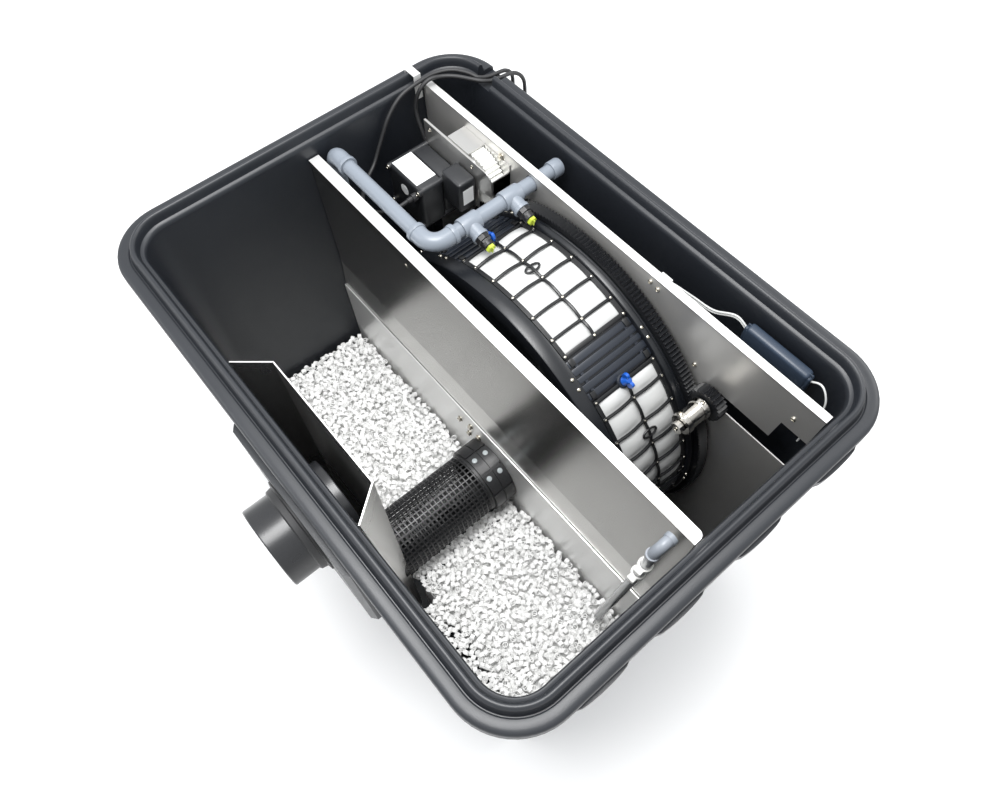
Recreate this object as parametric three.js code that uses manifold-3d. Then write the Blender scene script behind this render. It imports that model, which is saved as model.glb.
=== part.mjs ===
// Drum filter with a moving bed for a garden pond, standing open with its lid off.
// A tapered plastic tank is split by two folded stainless sheets. Dirty water enters the rear
// chamber, passes through the rear sheet into the turning screen drum, is strained outwards
// through six screen panels, and leaves by way of the moving bed, the black strainer tube and
// the riser box in front of the outlet pipe.
// Millimetres, +Z up. X runs along the long side, Y along the short side, and the outlet is on
// the -Y wall. The origin is the centre of the tank's base.
import * as THREE from 'three';
import { mergeVertices } from 'three/addons/utils/BufferGeometryUtils.js';
import Module from 'manifold-3d';

const wasm = await Module();
wasm.setup();

// ---- driving dimensions ----------------------------------------------------------------

const FIT = 0.3;                 // gap kept between pieces that touch
const FACETS = 40;               // sides of the larger round pieces

// tank, measured to the edge of its lid ledge
const TANK_LENGTH = 1200;
const TANK_WIDTH = 882;
const LEDGE_HEIGHT = 900;
const CORNER_RADIUS = 110;
const CORNER_STEPS = 5;
const WALL = 8;
const FLOOR = 8;
const COVE = 14;                 // slope between the inner walls and the floor
const WALL_INSET = 36;           // outer wall below the ledge edge
const DRAFT = 36;                // how far each wall leans in over its height
const LIP_OUT = 10;
const LIP_DROP = 36;
const BEAD_HEIGHT = 19;
const BEAD_INSET = 26;
const SHEET_GAP = 3;             // between the tank's wall and each sheet's end

// sheets
const SHEET = 2.5;
const FLANGE = 25;
const FRONT_Y = -7;
const FRONT_DROP = 38;           // its flange below the ledge
const FRONT_BEND_Z = 540;
const FRONT_LOWER_Z = 445;
const FRONT_KICK = 8;            // the lower part leans out by this much
const REAR_Y = 302;
const REAR_DROP = 7;
const BYPASS_X = 352;
const BYPASS_LOW = 698;
const BYPASS_HIGH = 741;
const BYPASS_STEP_X = 492;
const BYPASS_STEP_Z = 805;
const BAFFLE_TOP = 835;
const BAFFLE_Y = -328;
const BAFFLE_X = [-290, -193, 122, 209];

// drum
const DRUM_X = -9;
const DRUM_Z = 447;
const DRUM_FRONT = 56;           // its closed end
const PANEL_FRONT = 90;
const PANEL_REAR = 254;
const PANEL_RADIUS = 396;
const PANEL_COUNT = 6;
const PANEL_DEPTH = 14;
const PANEL_BORDER = 7;
const PANEL_STEPS = 6;
const CLOTH_SINK = 4;            // the cloth lies this far below the frame's face
const CLOTH = 4;
const LATCH_BOSS = 15;
const BAR_HALF_ANGLE = 7;        // degrees, half of the bar between two panels
const RING_DEPTH = 34;
const HUB_RADIUS = 46;
const AXLE_RADIUS = 12;
const COLLAR_INSET = 96;         // from the panels' outside to the inlet's edge
const INLET_RADIUS = PANEL_RADIUS - COLLAR_INSET;
const COLLAR_WALL = 6;
const SEAL_FRONT = 258;
const SEAL_REAR = 270;

// gears
const MODULE = 3;
const RING_RISE = 21;            // from the panels' outside to the teeth's pitch line
const RING_TEETH = Math.round((2 * (PANEL_RADIUS + RING_RISE)) / MODULE);
const GEAR_FRONT = 273;
const GEAR_REAR = 298;
const RING_LAND = 16;            // how far the toothed ring reaches inwards
const RING_BORE = PANEL_RADIUS - RING_LAND;
const DRIVE_TEETH = 40;
const DRIVE_ANGLE = 132;         // degrees round the drum from +X
const GUIDE_TEETH = 24;
const GUIDE_ANGLE = 36;
const BACKLASH = 1;              // added to each gear's centre distance
const SHAFT_RADIUS = 8;

// motor
const MOTOR_SIZE = [124, 106, 118];
const MOTOR_CENTRE = [-428, 196, 750];
const MOUNT_Y = 252;
const MOUNT_X = [-486, -306];
const MOUNT_Z = [737, 866];

// rinse pipe
const PIPE_RADIUS = 16;
const FITTING_RADIUS = 20;
const PIPE_BORE = 12;
const PIPE_Z = 868;
const PIPE_X = -190;
const PIPE_Y = 44;
const NOZZLE_Y = [137, 245];
const NOZZLE_LENGTH = 30;
const BRANCH = 38;
const HEADER_END = 372;
const RISER_LOW = 724;
const RISER_WALL = TANK_LENGTH / 2 - WALL_INSET - WALL - DRAFT * (1 - RISER_LOW / LEDGE_HEIGHT);
const PIPE_START_X = FITTING_RADIUS - Math.round(RISER_WALL);
const PUMP_Z = 12;

// outlet, inlets and waste
const OUTLET_X = 64;
const OUTLET_Z = 740;
const OUTLET_RADIUS = 80;
const OUTLET_BORE = 75;
const OUTLET_MOUTH = -529;
const PAD_HALF = 175;
const PAD_FACE = -461;
const INLET_X = [-330, -130];
const INLET_Z = 300;
const INLET_PIPE = 55;
const INLET_BORE = 51;
const INLET_MOUTH = 515;
const WASTE_Z = 560;
const WASTE_PIPE = 37;
const WASTE_BORE = 34;
const WASTE_MOUTH = 500;

// moving bed
const BED_TOP = 268;
const BED_FLOOR = 12;
const STRAINER_X = 57;
const STRAINER_Z = 325;
const STRAINER_RADIUS = 78;
const STRAINER_WALL = 4;
const STRAINER_CAP = 84;
const STRAINER_CAP_LENGTH = 60;

// cables, each over the rim's notch, down behind the tank and into a coil on the floor
const CABLE_RADIUS = 4.5;
const NOTCH_X = [-488, -440];
const NOTCH_FLOOR = LEDGE_HEIGHT - 12;
const COIL_RADIUS = 49.5;        // to the middle of the turns
const MOTOR_COIL_X = -250;
const PUMP_COIL_X = -40;
const RIM_BEND_Y = 450;           // where the leads start to bend down outside
const MOTOR_DROP_Y = 490;
const PUMP_DROP_Y = 513;

// ---- materials --------------------------------------------------------------------------

const finish = (color, roughness, metalness = 0) => (
  new THREE.MeshStandardMaterial({ color, roughness, metalness })
);
const tankPlastic = finish(0x2b2f36, 0.5);
const stainless = finish(0xc3c5c4, 0.28, 1);
const greyPipe = finish(0xb4bfc9, 0.4);
const blackPlastic = finish(0x15161a, 0.5);
const anthracite = finish(0x3a3f4b, 0.45);
const screenCloth = finish(0xdcdedd, 0.8);
const whiteNylon = finish(0xeeeeea, 0.5);
const limePlastic = finish(0xc3cc5a, 0.4);
const bluePlastic = finish(0x1763b8, 0.35);
const rubber = finish(0x16171a, 0.8);
const greyCase = finish(0x4d5768, 0.5);
const hoseVinyl = finish(0xa9adb6, 0.3);
const brass = finish(0xc9a452, 0.35, 1);

// ---- solids -----------------------------------------------------------------------------

function toSolid(geometry) {
  const bare = geometry.clone();
  bare.deleteAttribute('normal');
  bare.deleteAttribute('uv');
  const merged = mergeVertices(bare, 1e-4);
  return new wasm.Manifold(new wasm.Mesh({
    numProp: 3,
    vertProperties: new Float32Array(merged.attributes.position.array),
    triVerts: new Uint32Array(merged.index.array),
  }));
}

function toGeometry(solid) {
  const mesh = solid.getMesh();
  const geometry = new THREE.BufferGeometry();
  geometry.setAttribute('position', new THREE.BufferAttribute(new Float32Array(mesh.vertProperties), 3));
  geometry.setIndex(new THREE.BufferAttribute(new Uint32Array(mesh.triVerts), 1));
  geometry.computeVertexNormals();
  return geometry;
}

const join = (...pieces) => toGeometry(pieces.map(toSolid).reduce((sum, piece) => sum.add(piece)));
const cut = (piece, ...tools) => (
  toGeometry(tools.map(toSolid).reduce((rest, tool) => rest.subtract(tool), toSolid(piece)))
);
const common = (piece, other) => toGeometry(toSolid(piece).intersect(toSolid(other)));

function box(x0, x1, y0, y1, z0, z1) {
  const geometry = new THREE.BoxGeometry(x1 - x0, y1 - y0, z1 - z0);
  return geometry.translate((x0 + x1) / 2, (y0 + y1) / 2, (z0 + z1) / 2);
}

// a round bar along Y
function barY(radius, x, z, y0, y1, sides = FACETS) {
  const geometry = new THREE.CylinderGeometry(radius, radius, y1 - y0, sides);
  return geometry.translate(x, (y0 + y1) / 2, z);
}

function barX(radius, y, z, x0, x1, sides = 16) {
  const geometry = new THREE.CylinderGeometry(radius, radius, x1 - x0, sides).rotateZ(Math.PI / 2);
  return geometry.translate((x0 + x1) / 2, y, z);
}

function barZ(radius, x, y, z0, z1, sides = 16) {
  const geometry = new THREE.CylinderGeometry(radius, radius, z1 - z0, sides).rotateX(Math.PI / 2);
  return geometry.translate(x, y, (z0 + z1) / 2);
}

// a hollow round piece along Y
function tubeY(inner, outer, x, z, y0, y1, sides = FACETS) {
  const profile = [[inner, y0], [outer, y0], [outer, y1], [inner, y1], [inner, y0]];
  const points = profile.map(([r, y]) => new THREE.Vector2(r, y));
  return new THREE.LatheGeometry(points, sides).translate(x, 0, z);
}

function outline(points) {
  return new THREE.Shape(points.map(([a, b]) => new THREE.Vector2(a, b)));
}

// a flat shape in X and Z, given thickness along Y
function plateXZ(shape, y0, y1, curveSegments = 8) {
  const geometry = new THREE.ExtrudeGeometry(shape, { depth: y1 - y0, bevelEnabled: false, curveSegments });
  return geometry.rotateX(Math.PI / 2).translate(0, y1, 0);
}

// a flat shape in X and Y, given height along Z
function slabXY(shape, z0, z1) {
  const geometry = new THREE.ExtrudeGeometry(shape, { depth: z1 - z0, bevelEnabled: false });
  return geometry.translate(0, 0, z0);
}

// a section in Y and Z, run along X
function runX(shape, x0, x1) {
  const turn = new THREE.Matrix4().makeBasis(
    new THREE.Vector3(0, 1, 0),
    new THREE.Vector3(0, 0, 1),
    new THREE.Vector3(1, 0, 0),
  );
  const geometry = new THREE.ExtrudeGeometry(shape, { depth: x1 - x0, bevelEnabled: false });
  return geometry.applyMatrix4(turn).translate(x0, 0, 0);
}

// a flexible round piece along a smooth curve through chosen points
function flexible(points, radius, sides, steps) {
  const path = new THREE.CatmullRomCurve3(points.map((p) => new THREE.Vector3(...p)), false, 'centripetal');
  const section = new THREE.Shape();
  for (let i = 0; i < sides; i += 1) {
    const angle = (i * 2 * Math.PI) / sides;
    const corner = [radius * Math.cos(angle), radius * Math.sin(angle)];
    if (i === 0) section.moveTo(...corner);
    else section.lineTo(...corner);
  }
  section.closePath();
  return new THREE.ExtrudeGeometry(section, { steps, bevelEnabled: false, extrudePath: path });
}

// ---- tank -------------------------------------------------------------------------------

// rounded rectangle inside the ledge edge by an inset, as a ring of points
function tankLoop(inset, z) {
  const halfX = TANK_LENGTH / 2 - inset;
  const halfY = TANK_WIDTH / 2 - inset;
  const radius = Math.max(CORNER_RADIUS - inset, 12);
  const centres = [[1, 1], [-1, 1], [-1, -1], [1, -1]];
  return centres.flatMap(([sx, sy], corner) => (
    Array.from({ length: CORNER_STEPS + 1 }, (_, i) => {
      const angle = (corner + i / CORNER_STEPS) * Math.PI / 2;
      const x = sx * (halfX - radius) + radius * Math.cos(angle);
      const y = sy * (halfY - radius) + radius * Math.sin(angle);
      return [x, y, z];
    })
  ));
}

// a closed skin through a stack of rings, with its first and last ring filled
function skin(profile) {
  const rings = profile.map(([inset, z]) => tankLoop(inset, z));
  const count = rings[0].length;
  const positions = rings.flat().concat([[0, 0, profile[0][1]], [0, 0, profile.at(-1)[1]]]).flat();
  const first = rings.length * count;
  const triangles = [];
  for (let j = 0; j < count; j += 1) {
    const next = (j + 1) % count;
    for (let i = 0; i + 1 < rings.length; i += 1) {
      const a = i * count + j;
      const b = i * count + next;
      triangles.push(a, b, b + count, a, b + count, a + count);
    }
    const top = (rings.length - 1) * count;
    triangles.push(first, next, j, first + 1, top + j, top + next);
  }
  const geometry = new THREE.BufferGeometry();
  geometry.setAttribute('position', new THREE.Float32BufferAttribute(positions, 3));
  geometry.setIndex(triangles);
  geometry.computeVertexNormals();
  return geometry;
}

const outerInset = (z) => WALL_INSET + DRAFT * (1 - z / LEDGE_HEIGHT);
const innerInset = (z) => outerInset(z) + WALL;
const innerHalfWidth = (z) => TANK_WIDTH / 2 - innerInset(z);
const outerHalfWidth = (z) => TANK_WIDTH / 2 - outerInset(z);

// the space inside the tank's walls, less a gap
function cavity(gap) {
  const low = FLOOR + gap;
  const bend = FLOOR + COVE + gap;
  const high = LEDGE_HEIGHT + 40;
  return skin([
    [innerInset(FLOOR) + COVE + gap, low],
    [innerInset(bend) + gap, bend],
    [innerInset(high) + gap, high],
  ]);
}

function tankShell() {
  const top = LEDGE_HEIGHT;
  const under = top - LIP_DROP;
  const profile = [
    [outerInset(0) + 12, 0],
    [outerInset(12), 12],
    [outerInset(under), under],
    [4 - LIP_OUT, under + 3],
    [-LIP_OUT, under + 6],
    [-LIP_OUT + 1, top - 7],
    [-LIP_OUT + 5, top - 4],
    [0, top],
    [17, top],
    [20, top + 3],
    [BEAD_INSET - 5, top + BEAD_HEIGHT - 5],
    [BEAD_INSET - 2, top + BEAD_HEIGHT - 0.5],
    [BEAD_INSET + 2, top + BEAD_HEIGHT],
    [BEAD_INSET + 6, top + BEAD_HEIGHT - 5],
    [innerInset(top) - 6, top - 3],
    [innerInset(top) - 1, top - 5],
    [innerInset(top - 9), top - 9],
    [innerInset(FLOOR + COVE), FLOOR + COVE],
    [innerInset(FLOOR) + COVE, FLOOR],
  ];
  const [px0, px1] = [OUTLET_X - PAD_HALF, OUTLET_X + PAD_HALF];
  const pad = box(px0, px1, PAD_FACE, -TANK_WIDTH / 4, OUTLET_Z - PAD_HALF, under + 4);
  const blank = join(skin(profile), cut(pad, cavity(-2)));
  const [nx0, nx1] = NOTCH_X;
  const notch = box(nx0, nx1, innerHalfWidth(top) - 2, TANK_WIDTH / 2 + LIP_OUT + 2, NOTCH_FLOOR, top + BEAD_HEIGHT + 5);
  const inletHoles = INLET_X.map((x) => (
    barY(INLET_PIPE + FIT, x, INLET_Z, innerHalfWidth(INLET_Z) - 30, TANK_WIDTH / 2, 24)
  ));
  return cut(
    blank,
    barY(OUTLET_RADIUS + FIT, OUTLET_X, OUTLET_Z, PAD_FACE - 5, 30 - innerHalfWidth(OUTLET_Z)),
    notch,
    ...inletHoles,
    barY(WASTE_PIPE + FIT, DRUM_X, WASTE_Z, innerHalfWidth(WASTE_Z) - 30, TANK_WIDTH / 2, 24),
  );
}

const outletPipe = () => (
  tubeY(OUTLET_BORE, OUTLET_RADIUS, OUTLET_X, OUTLET_Z, OUTLET_MOUTH, -innerHalfWidth(OUTLET_Z) + 14)
);

const inletPipe = (x) => (
  tubeY(INLET_BORE, INLET_PIPE, x, INLET_Z, innerHalfWidth(INLET_Z) - 24, INLET_MOUTH, 24)
);

// ---- sheets -----------------------------------------------------------------------------

function frontSheet() {
  const top = LEDGE_HEIGHT - FRONT_DROP;
  const low = FRONT_LOWER_Z;
  const kick = FRONT_Y - FRONT_KICK;
  const section = outline([
    [FRONT_Y, top],
    [FRONT_Y, FRONT_BEND_Z],
    [kick, low],
    [kick + SHEET, low],
    [FRONT_Y + SHEET, FRONT_BEND_Z],
    [FRONT_Y + SHEET, top - SHEET],
    [FRONT_Y + FLANGE - SHEET, top - SHEET],
    [FRONT_Y + FLANGE - SHEET, top - 12],
    [FRONT_Y + FLANGE, top - 12],
    [FRONT_Y + FLANGE, top],
  ]);
  return common(runX(section, -TANK_LENGTH / 2, TANK_LENGTH / 2), cavity(SHEET_GAP));
}

const lowerY = FRONT_Y - FRONT_KICK - SHEET - FIT;

function frontLowerSheet() {
  const sheet = box(-TANK_LENGTH / 2, TANK_LENGTH / 2, lowerY, lowerY + SHEET, 0, FRONT_LOWER_Z + 12);
  const passage = box(-260, 260, lowerY - 1, lowerY + SHEET + 1, 0, 60);
  return cut(common(sheet, cavity(SHEET_GAP)), passage);
}

function rearSheet() {
  const top = LEDGE_HEIGHT - REAR_DROP;
  const half = TANK_LENGTH / 2;
  const face = outline([
    [-half, 0],
    [half, 0],
    [half, BYPASS_LOW],
    [BYPASS_X, BYPASS_LOW],
    [BYPASS_X, BYPASS_HIGH],
    [BYPASS_STEP_X - 6, BYPASS_HIGH],
    [BYPASS_STEP_X, BYPASS_STEP_Z],
    [half, BYPASS_STEP_Z],
    [half, top],
    [-half, top],
  ]);
  const sheet = plateXZ(face, REAR_Y, REAR_Y + SHEET);
  const flange = box(-half, half, REAR_Y, REAR_Y + FLANGE - 7, top - SHEET, top);
  const edge = box(-half, half, REAR_Y + FLANGE - 7 - SHEET, REAR_Y + FLANGE - 7, top - 12, top);
  const blank = common(join(sheet, flange, edge), cavity(SHEET_GAP));
  return cut(
    blank,
    barY(INLET_RADIUS, DRUM_X, DRUM_Z, REAR_Y - 5, REAR_Y + 10),
    barY(PIPE_RADIUS + 2, PIPE_X, PIPE_Z, REAR_Y - 5, REAR_Y + 25, 24),
  );
}

const rearCollar = () => (
  tubeY(INLET_RADIUS, INLET_RADIUS + COLLAR_WALL, DRUM_X, DRUM_Z, SEAL_FRONT - 4, REAR_Y - FIT)
);

function baffleBox() {
  const wallY = -TANK_WIDTH / 2;
  const [x0, x1, x2, x3] = BAFFLE_X;
  const sheet = outline([
    [x0 - 40, wallY],
    [x1, BAFFLE_Y],
    [x2, BAFFLE_Y],
    [x3 + 40, wallY],
    [x3 + 40 - SHEET * 1.6, wallY],
    [x2 - SHEET * 0.4, BAFFLE_Y - SHEET],
    [x1 + SHEET * 0.4, BAFFLE_Y - SHEET],
    [x0 - 40 + SHEET * 1.6, wallY],
  ]);
  const sides = common(slabXY(sheet, 0, BAFFLE_TOP), cavity(SHEET_GAP));
  return cut(sides, barY(STRAINER_RADIUS + 1, STRAINER_X, STRAINER_Z, BAFFLE_Y - 40, BAFFLE_Y + 10, 32));
}

// ---- moving bed -------------------------------------------------------------------------

function carrierBed(side) {
  const half = TANK_LENGTH / 2;
  const near = STRAINER_X + side * (STRAINER_CAP + 6);
  const section = outline(side < 0
    ? [[-half, BED_FLOOR], [near, BED_FLOOR], [near, BED_TOP - 12], [near - 60, BED_TOP], [-half, BED_TOP - 14]]
    : [[near, BED_FLOOR], [half, BED_FLOOR], [half, BED_TOP], [near + 70, BED_TOP], [near, BED_TOP - 26]]);
  const block = plateXZ(section, -TANK_WIDTH / 2, lowerY - 2);
  const [x0, x1, x2, x3] = BAFFLE_X;
  const riser = outline([
    [x0 - 46, -TANK_WIDTH],
    [x0 - 46, -TANK_WIDTH / 2],
    [x1 - 2, BAFFLE_Y + 3],
    [x2 + 2, BAFFLE_Y + 3],
    [x3 + 46, -TANK_WIDTH / 2],
    [x3 + 46, -TANK_WIDTH],
  ]);
  return cut(common(block, cavity(SHEET_GAP + 2)), slabXY(riser, -10, LEDGE_HEIGHT));
}

const strainerTube = () => tubeY(
  STRAINER_RADIUS - STRAINER_WALL,
  STRAINER_RADIUS,
  STRAINER_X,
  STRAINER_Z,
  BAFFLE_Y - 14,
  lowerY - 22,
  32,
);

function strainerCap() {
  const back = lowerY - FIT;
  const shell = tubeY(STRAINER_RADIUS + FIT, STRAINER_CAP, STRAINER_X, STRAINER_Z, back - STRAINER_CAP_LENGTH, back, 32);
  return join(shell, barY(STRAINER_RADIUS + 3, STRAINER_X, STRAINER_Z, back - 8, back, 32));
}

// ---- drum -------------------------------------------------------------------------------

const toRadians = (degrees) => (degrees * Math.PI) / 180;
const toDegrees = (radians) => (radians * 180) / Math.PI;
const roundDrum = (radius, degrees) => [
  DRUM_X + radius * Math.cos(toRadians(degrees)),
  DRUM_Z + radius * Math.sin(toRadians(degrees)),
];

// a curved strip round the drum, between two radii and two angles
function arcStrip(inner, outer, from, to, y0, y1, steps) {
  const angles = Array.from({ length: steps + 1 }, (_, i) => from + ((to - from) * i) / steps);
  const points = angles.map((a) => roundDrum(outer, a));
  const back = angles.reverse().map((a) => roundDrum(inner, a));
  return plateXZ(outline(points.concat(back)), y0, y1);
}

function drumFrame() {
  const inner = PANEL_RADIUS - RING_DEPTH;
  const frontRing = tubeY(inner, PANEL_RADIUS + 4, DRUM_X, DRUM_Z, DRUM_FRONT, PANEL_FRONT, 72);
  const rearRing = tubeY(inner, PANEL_RADIUS + 8, DRUM_X, DRUM_Z, PANEL_REAR, GEAR_FRONT - FIT, 72);
  const bars = Array.from({ length: PANEL_COUNT }, (_, i) => {
    const middle = 60 + (i * 360) / PANEL_COUNT;
    const half = BAR_HALF_ANGLE - 0.15;
    return arcStrip(inner + 2, PANEL_RADIUS - 3, middle - half, middle + half, PANEL_FRONT - 2, PANEL_REAR + 2, 3);
  });
  return join(frontRing, rearRing, ...bars);
}

function drumEndDisc() {
  const rim = PANEL_RADIUS - RING_DEPTH - FIT;
  const disc = tubeY(AXLE_RADIUS + FIT, rim, DRUM_X, DRUM_Z, DRUM_FRONT + 4, DRUM_FRONT + 10, 72);
  const hub = tubeY(AXLE_RADIUS + FIT, HUB_RADIUS, DRUM_X, DRUM_Z, DRUM_FRONT + 4, DRUM_FRONT + 40, 24);
  return join(disc, hub);
}

// a moulded frame with its stretched cloth, and the boss of its latch
function screenPanel(i) {
  const middle = 90 - (i * 360) / PANEL_COUNT;
  const half = 180 / PANEL_COUNT - BAR_HALF_ANGLE - 0.1;
  const border = toDegrees(PANEL_BORDER / PANEL_RADIUS);
  const y0 = PANEL_FRONT + FIT;
  const y1 = PANEL_REAR - FIT;
  const from = middle - half;
  const to = middle + half;
  const blank = arcStrip(PANEL_RADIUS - PANEL_DEPTH, PANEL_RADIUS, from, to, y0, y1, PANEL_STEPS);
  const pocket = (inner, outer) => arcStrip(
    inner,
    outer,
    from + border,
    to - border,
    y0 + PANEL_BORDER,
    y1 - PANEL_BORDER,
    PANEL_STEPS,
  );
  const frame = cut(
    blank,
    pocket(PANEL_RADIUS - CLOTH_SINK, PANEL_RADIUS + 10),
    pocket(PANEL_RADIUS - PANEL_DEPTH - 10, PANEL_RADIUS - CLOTH_SINK - CLOTH),
  );
  const boss = placeOnDrum(barZ(LATCH_BOSS, 0, 0, -2.6, 6, 16), latchAngle(i), PANEL_RADIUS);
  return join(frame, boss);
}

// the latch stands on the edge that its panel turns towards +X first
const latchAngle = (i) => 90 + 180 / PANEL_COUNT - (i * 360) / PANEL_COUNT - BAR_HALF_ANGLE - 0.4;
const latchY = (PANEL_FRONT + PANEL_REAR) / 2 - 2;

// a wing latch built pointing up, then laid round the drum
function placeOnDrum(geometry, degrees, radius) {
  const [x, z] = roundDrum(radius, degrees);
  return geometry.rotateY(toRadians(90 - degrees)).translate(x, latchY, z);
}

function wingLatch(i) {
  const stem = barZ(7, 0, 0, 0.6, 14, 12);
  const wing = box(-17, 17, -3, 3, 6, 24);
  return placeOnDrum(join(stem, wing), latchAngle(i), PANEL_RADIUS + 6);
}

const drumAxle = () => barY(AXLE_RADIUS, DRUM_X, DRUM_Z, 4, DRUM_FRONT + 36, 20);

function axleBracket() {
  const behind = lowerY + SHEET + FIT;
  const plate = box(DRUM_X - 75, DRUM_X + 50, behind, behind + 6, DRUM_Z - 92, FRONT_LOWER_Z - 4);
  const ear = box(DRUM_X - 32, DRUM_X + 32, 1, 9, DRUM_Z - 92, DRUM_Z + 34);
  const foot = box(DRUM_X - 32, DRUM_X + 32, behind + 2, 5, DRUM_Z - 92, DRUM_Z - 84);
  const boss = barY(30, DRUM_X, DRUM_Z, 1, 40, 24);
  return cut(join(plate, foot, ear, boss), barY(20, DRUM_X, DRUM_Z, -8, 60, 24));
}

const axleBush = () => tubeY(AXLE_RADIUS + FIT, 20 - FIT, DRUM_X, DRUM_Z, 2, 44, 24);

const drumSeal = () => tubeY(
  INLET_RADIUS + COLLAR_WALL + FIT,
  PANEL_RADIUS - RING_DEPTH - FIT,
  DRUM_X,
  DRUM_Z,
  SEAL_FRONT,
  SEAL_REAR,
  72,
);

// ---- gears ------------------------------------------------------------------------------

const ringPitch = (MODULE * RING_TEETH) / 2;
const meshAt = (teeth, degrees) => roundDrum(ringPitch + (MODULE * teeth) / 2 + BACKLASH, degrees);

// pointed teeth round a centre; the first tooth stands at the phase angle, in degrees
function gearShape(teeth, cx, cz, phase, bore) {
  const pitch = (MODULE * teeth) / 2;
  const points = Array.from({ length: teeth * 2 }, (_, i) => {
    const angle = toRadians(phase + (i * 180) / teeth);
    const radius = i % 2 === 0 ? pitch + MODULE : pitch - MODULE * 1.25;
    return [cx + radius * Math.cos(angle), cz + radius * Math.sin(angle)];
  });
  const shape = outline(points);
  const hole = new THREE.Path();
  hole.absarc(cx, cz, bore, 0, 2 * Math.PI, true);
  shape.holes.push(hole);
  return shape;
}

const ringGear = () => plateXZ(gearShape(RING_TEETH, DRUM_X, DRUM_Z, 0, RING_BORE), GEAR_FRONT, GEAR_REAR, 30);

// the phase that puts a gap of the small gear over the ring's tooth
function meshPhase(teeth, degrees) {
  const toothPitch = 360 / RING_TEETH;
  const past = (degrees / toothPitch) % 1;
  return degrees + 180 + (past + 0.5) * (360 / teeth);
}

function driveGear() {
  const [x, z] = meshAt(DRIVE_TEETH, DRIVE_ANGLE);
  return plateXZ(
    gearShape(DRIVE_TEETH, x, z, meshPhase(DRIVE_TEETH, DRIVE_ANGLE), SHAFT_RADIUS + FIT),
    MOUNT_Y + 12,
    GEAR_REAR,
  );
}

const driveShaft = () => {
  const [x, z] = meshAt(DRIVE_TEETH, DRIVE_ANGLE);
  return barY(SHAFT_RADIUS, x, z, MOUNT_Y - 4, GEAR_REAR + 1, 16);
};

function guideGear() {
  const [x, z] = meshAt(GUIDE_TEETH, GUIDE_ANGLE);
  return plateXZ(
    gearShape(GUIDE_TEETH, x, z, meshPhase(GUIDE_TEETH, GUIDE_ANGLE), SHAFT_RADIUS + FIT),
    GEAR_FRONT,
    GEAR_REAR,
  );
}

const guideSleeve = () => {
  const [x, z] = meshAt(GUIDE_TEETH, GUIDE_ANGLE);
  const barrel = tubeY(SHAFT_RADIUS + FIT, 21, x, z, 210, GEAR_FRONT - FIT, 24);
  return join(barrel, tubeY(SHAFT_RADIUS + FIT, 24, x, z, 207, 212, 24));
};

const guideAxle = () => {
  const [x, z] = meshAt(GUIDE_TEETH, GUIDE_ANGLE);
  return join(barY(SHAFT_RADIUS, x, z, 200, REAR_Y - FIT, 16), barY(13, x, z, 195, 206.5, 12));
};

// ---- motor ------------------------------------------------------------------------------

function motorBody() {
  const [w, d, h] = MOTOR_SIZE;
  const [x, y, z] = MOTOR_CENTRE;
  const body = box(x - w / 2, x + w / 2, y - d / 2, y + d / 2, z - h / 2, z + h / 2);
  const [gx, gz] = meshAt(DRIVE_TEETH, DRIVE_ANGLE);
  const gearbox = box(gx - 40, gx + 22, y + d / 2 - 46, y + d / 2, gz - 52, gz + 30);
  const bore = barY(SHAFT_RADIUS + FIT, gx, gz, MOUNT_Y - 5, MOUNT_Y + 5, 16);
  return cut(join(body, gearbox), bore);
}

function motorPlate() {
  const [x0, x1] = MOUNT_X;
  const [z0, z1] = MOUNT_Z;
  const r = 16;
  const shape = new THREE.Shape();
  shape.moveTo(x0, z0);
  shape.lineTo(x1, z0);
  shape.lineTo(x1, z1 - r);
  shape.absarc(x1 - r, z1 - r, r, 0, Math.PI / 2, false);
  shape.lineTo(x0, z1);
  const [gx, gz] = meshAt(DRIVE_TEETH, DRIVE_ANGLE);
  return cut(plateXZ(shape, MOUNT_Y, MOUNT_Y + 3), barY(14, gx, gz, MOUNT_Y - 5, MOUNT_Y + 8, 24));
}

function motorBracket() {
  const y0 = MOUNT_Y + 3 + FIT;
  const y1 = REAR_Y - FIT;
  const [z0, z1] = MOUNT_Z;
  const top = box(-408, -338, y0, y1, z1 + 1, z1 + 4);
  const front = box(-408, -394, y0, y0 + 3, z0 + 6, z1 + 3);
  const back = box(-408, -256, y1 - 2.5, y1, z1 - 40, z1 + 3);
  const side = box(-259, -256, y0, y1, z0 + 65, z1 - 18);
  return join(top, front, back, side);
}

const motorGland = () => {
  const [, y, z] = MOTOR_CENTRE;
  const front = y - MOTOR_SIZE[1] / 2 - FIT;
  const body = barY(9, -382, z + 40, front - 14, front, 12);
  return cut(join(body, barY(6, -382, z + 40, front - 26, front, 12)), barY(4, -382, z + 40, front - 40, front + 5, 12));
};

// ---- rinse pipe -------------------------------------------------------------------------

// a round bend in a flat plane, from one straight direction to another
function elbow(corner, first, second, leg) {
  const c = new THREE.Vector3(...corner);
  const a = new THREE.Vector3(...first);
  const b = new THREE.Vector3(...second);
  const path = new THREE.QuadraticBezierCurve3(c.clone().addScaledVector(a, leg), c, c.clone().addScaledVector(b, leg));
  const section = new THREE.Shape().absarc(0, 0, FITTING_RADIUS, 0, 2 * Math.PI, false);
  return new THREE.ExtrudeGeometry(section, { steps: 8, bevelEnabled: false, curveSegments: 7, extrudePath: path });
}

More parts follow.
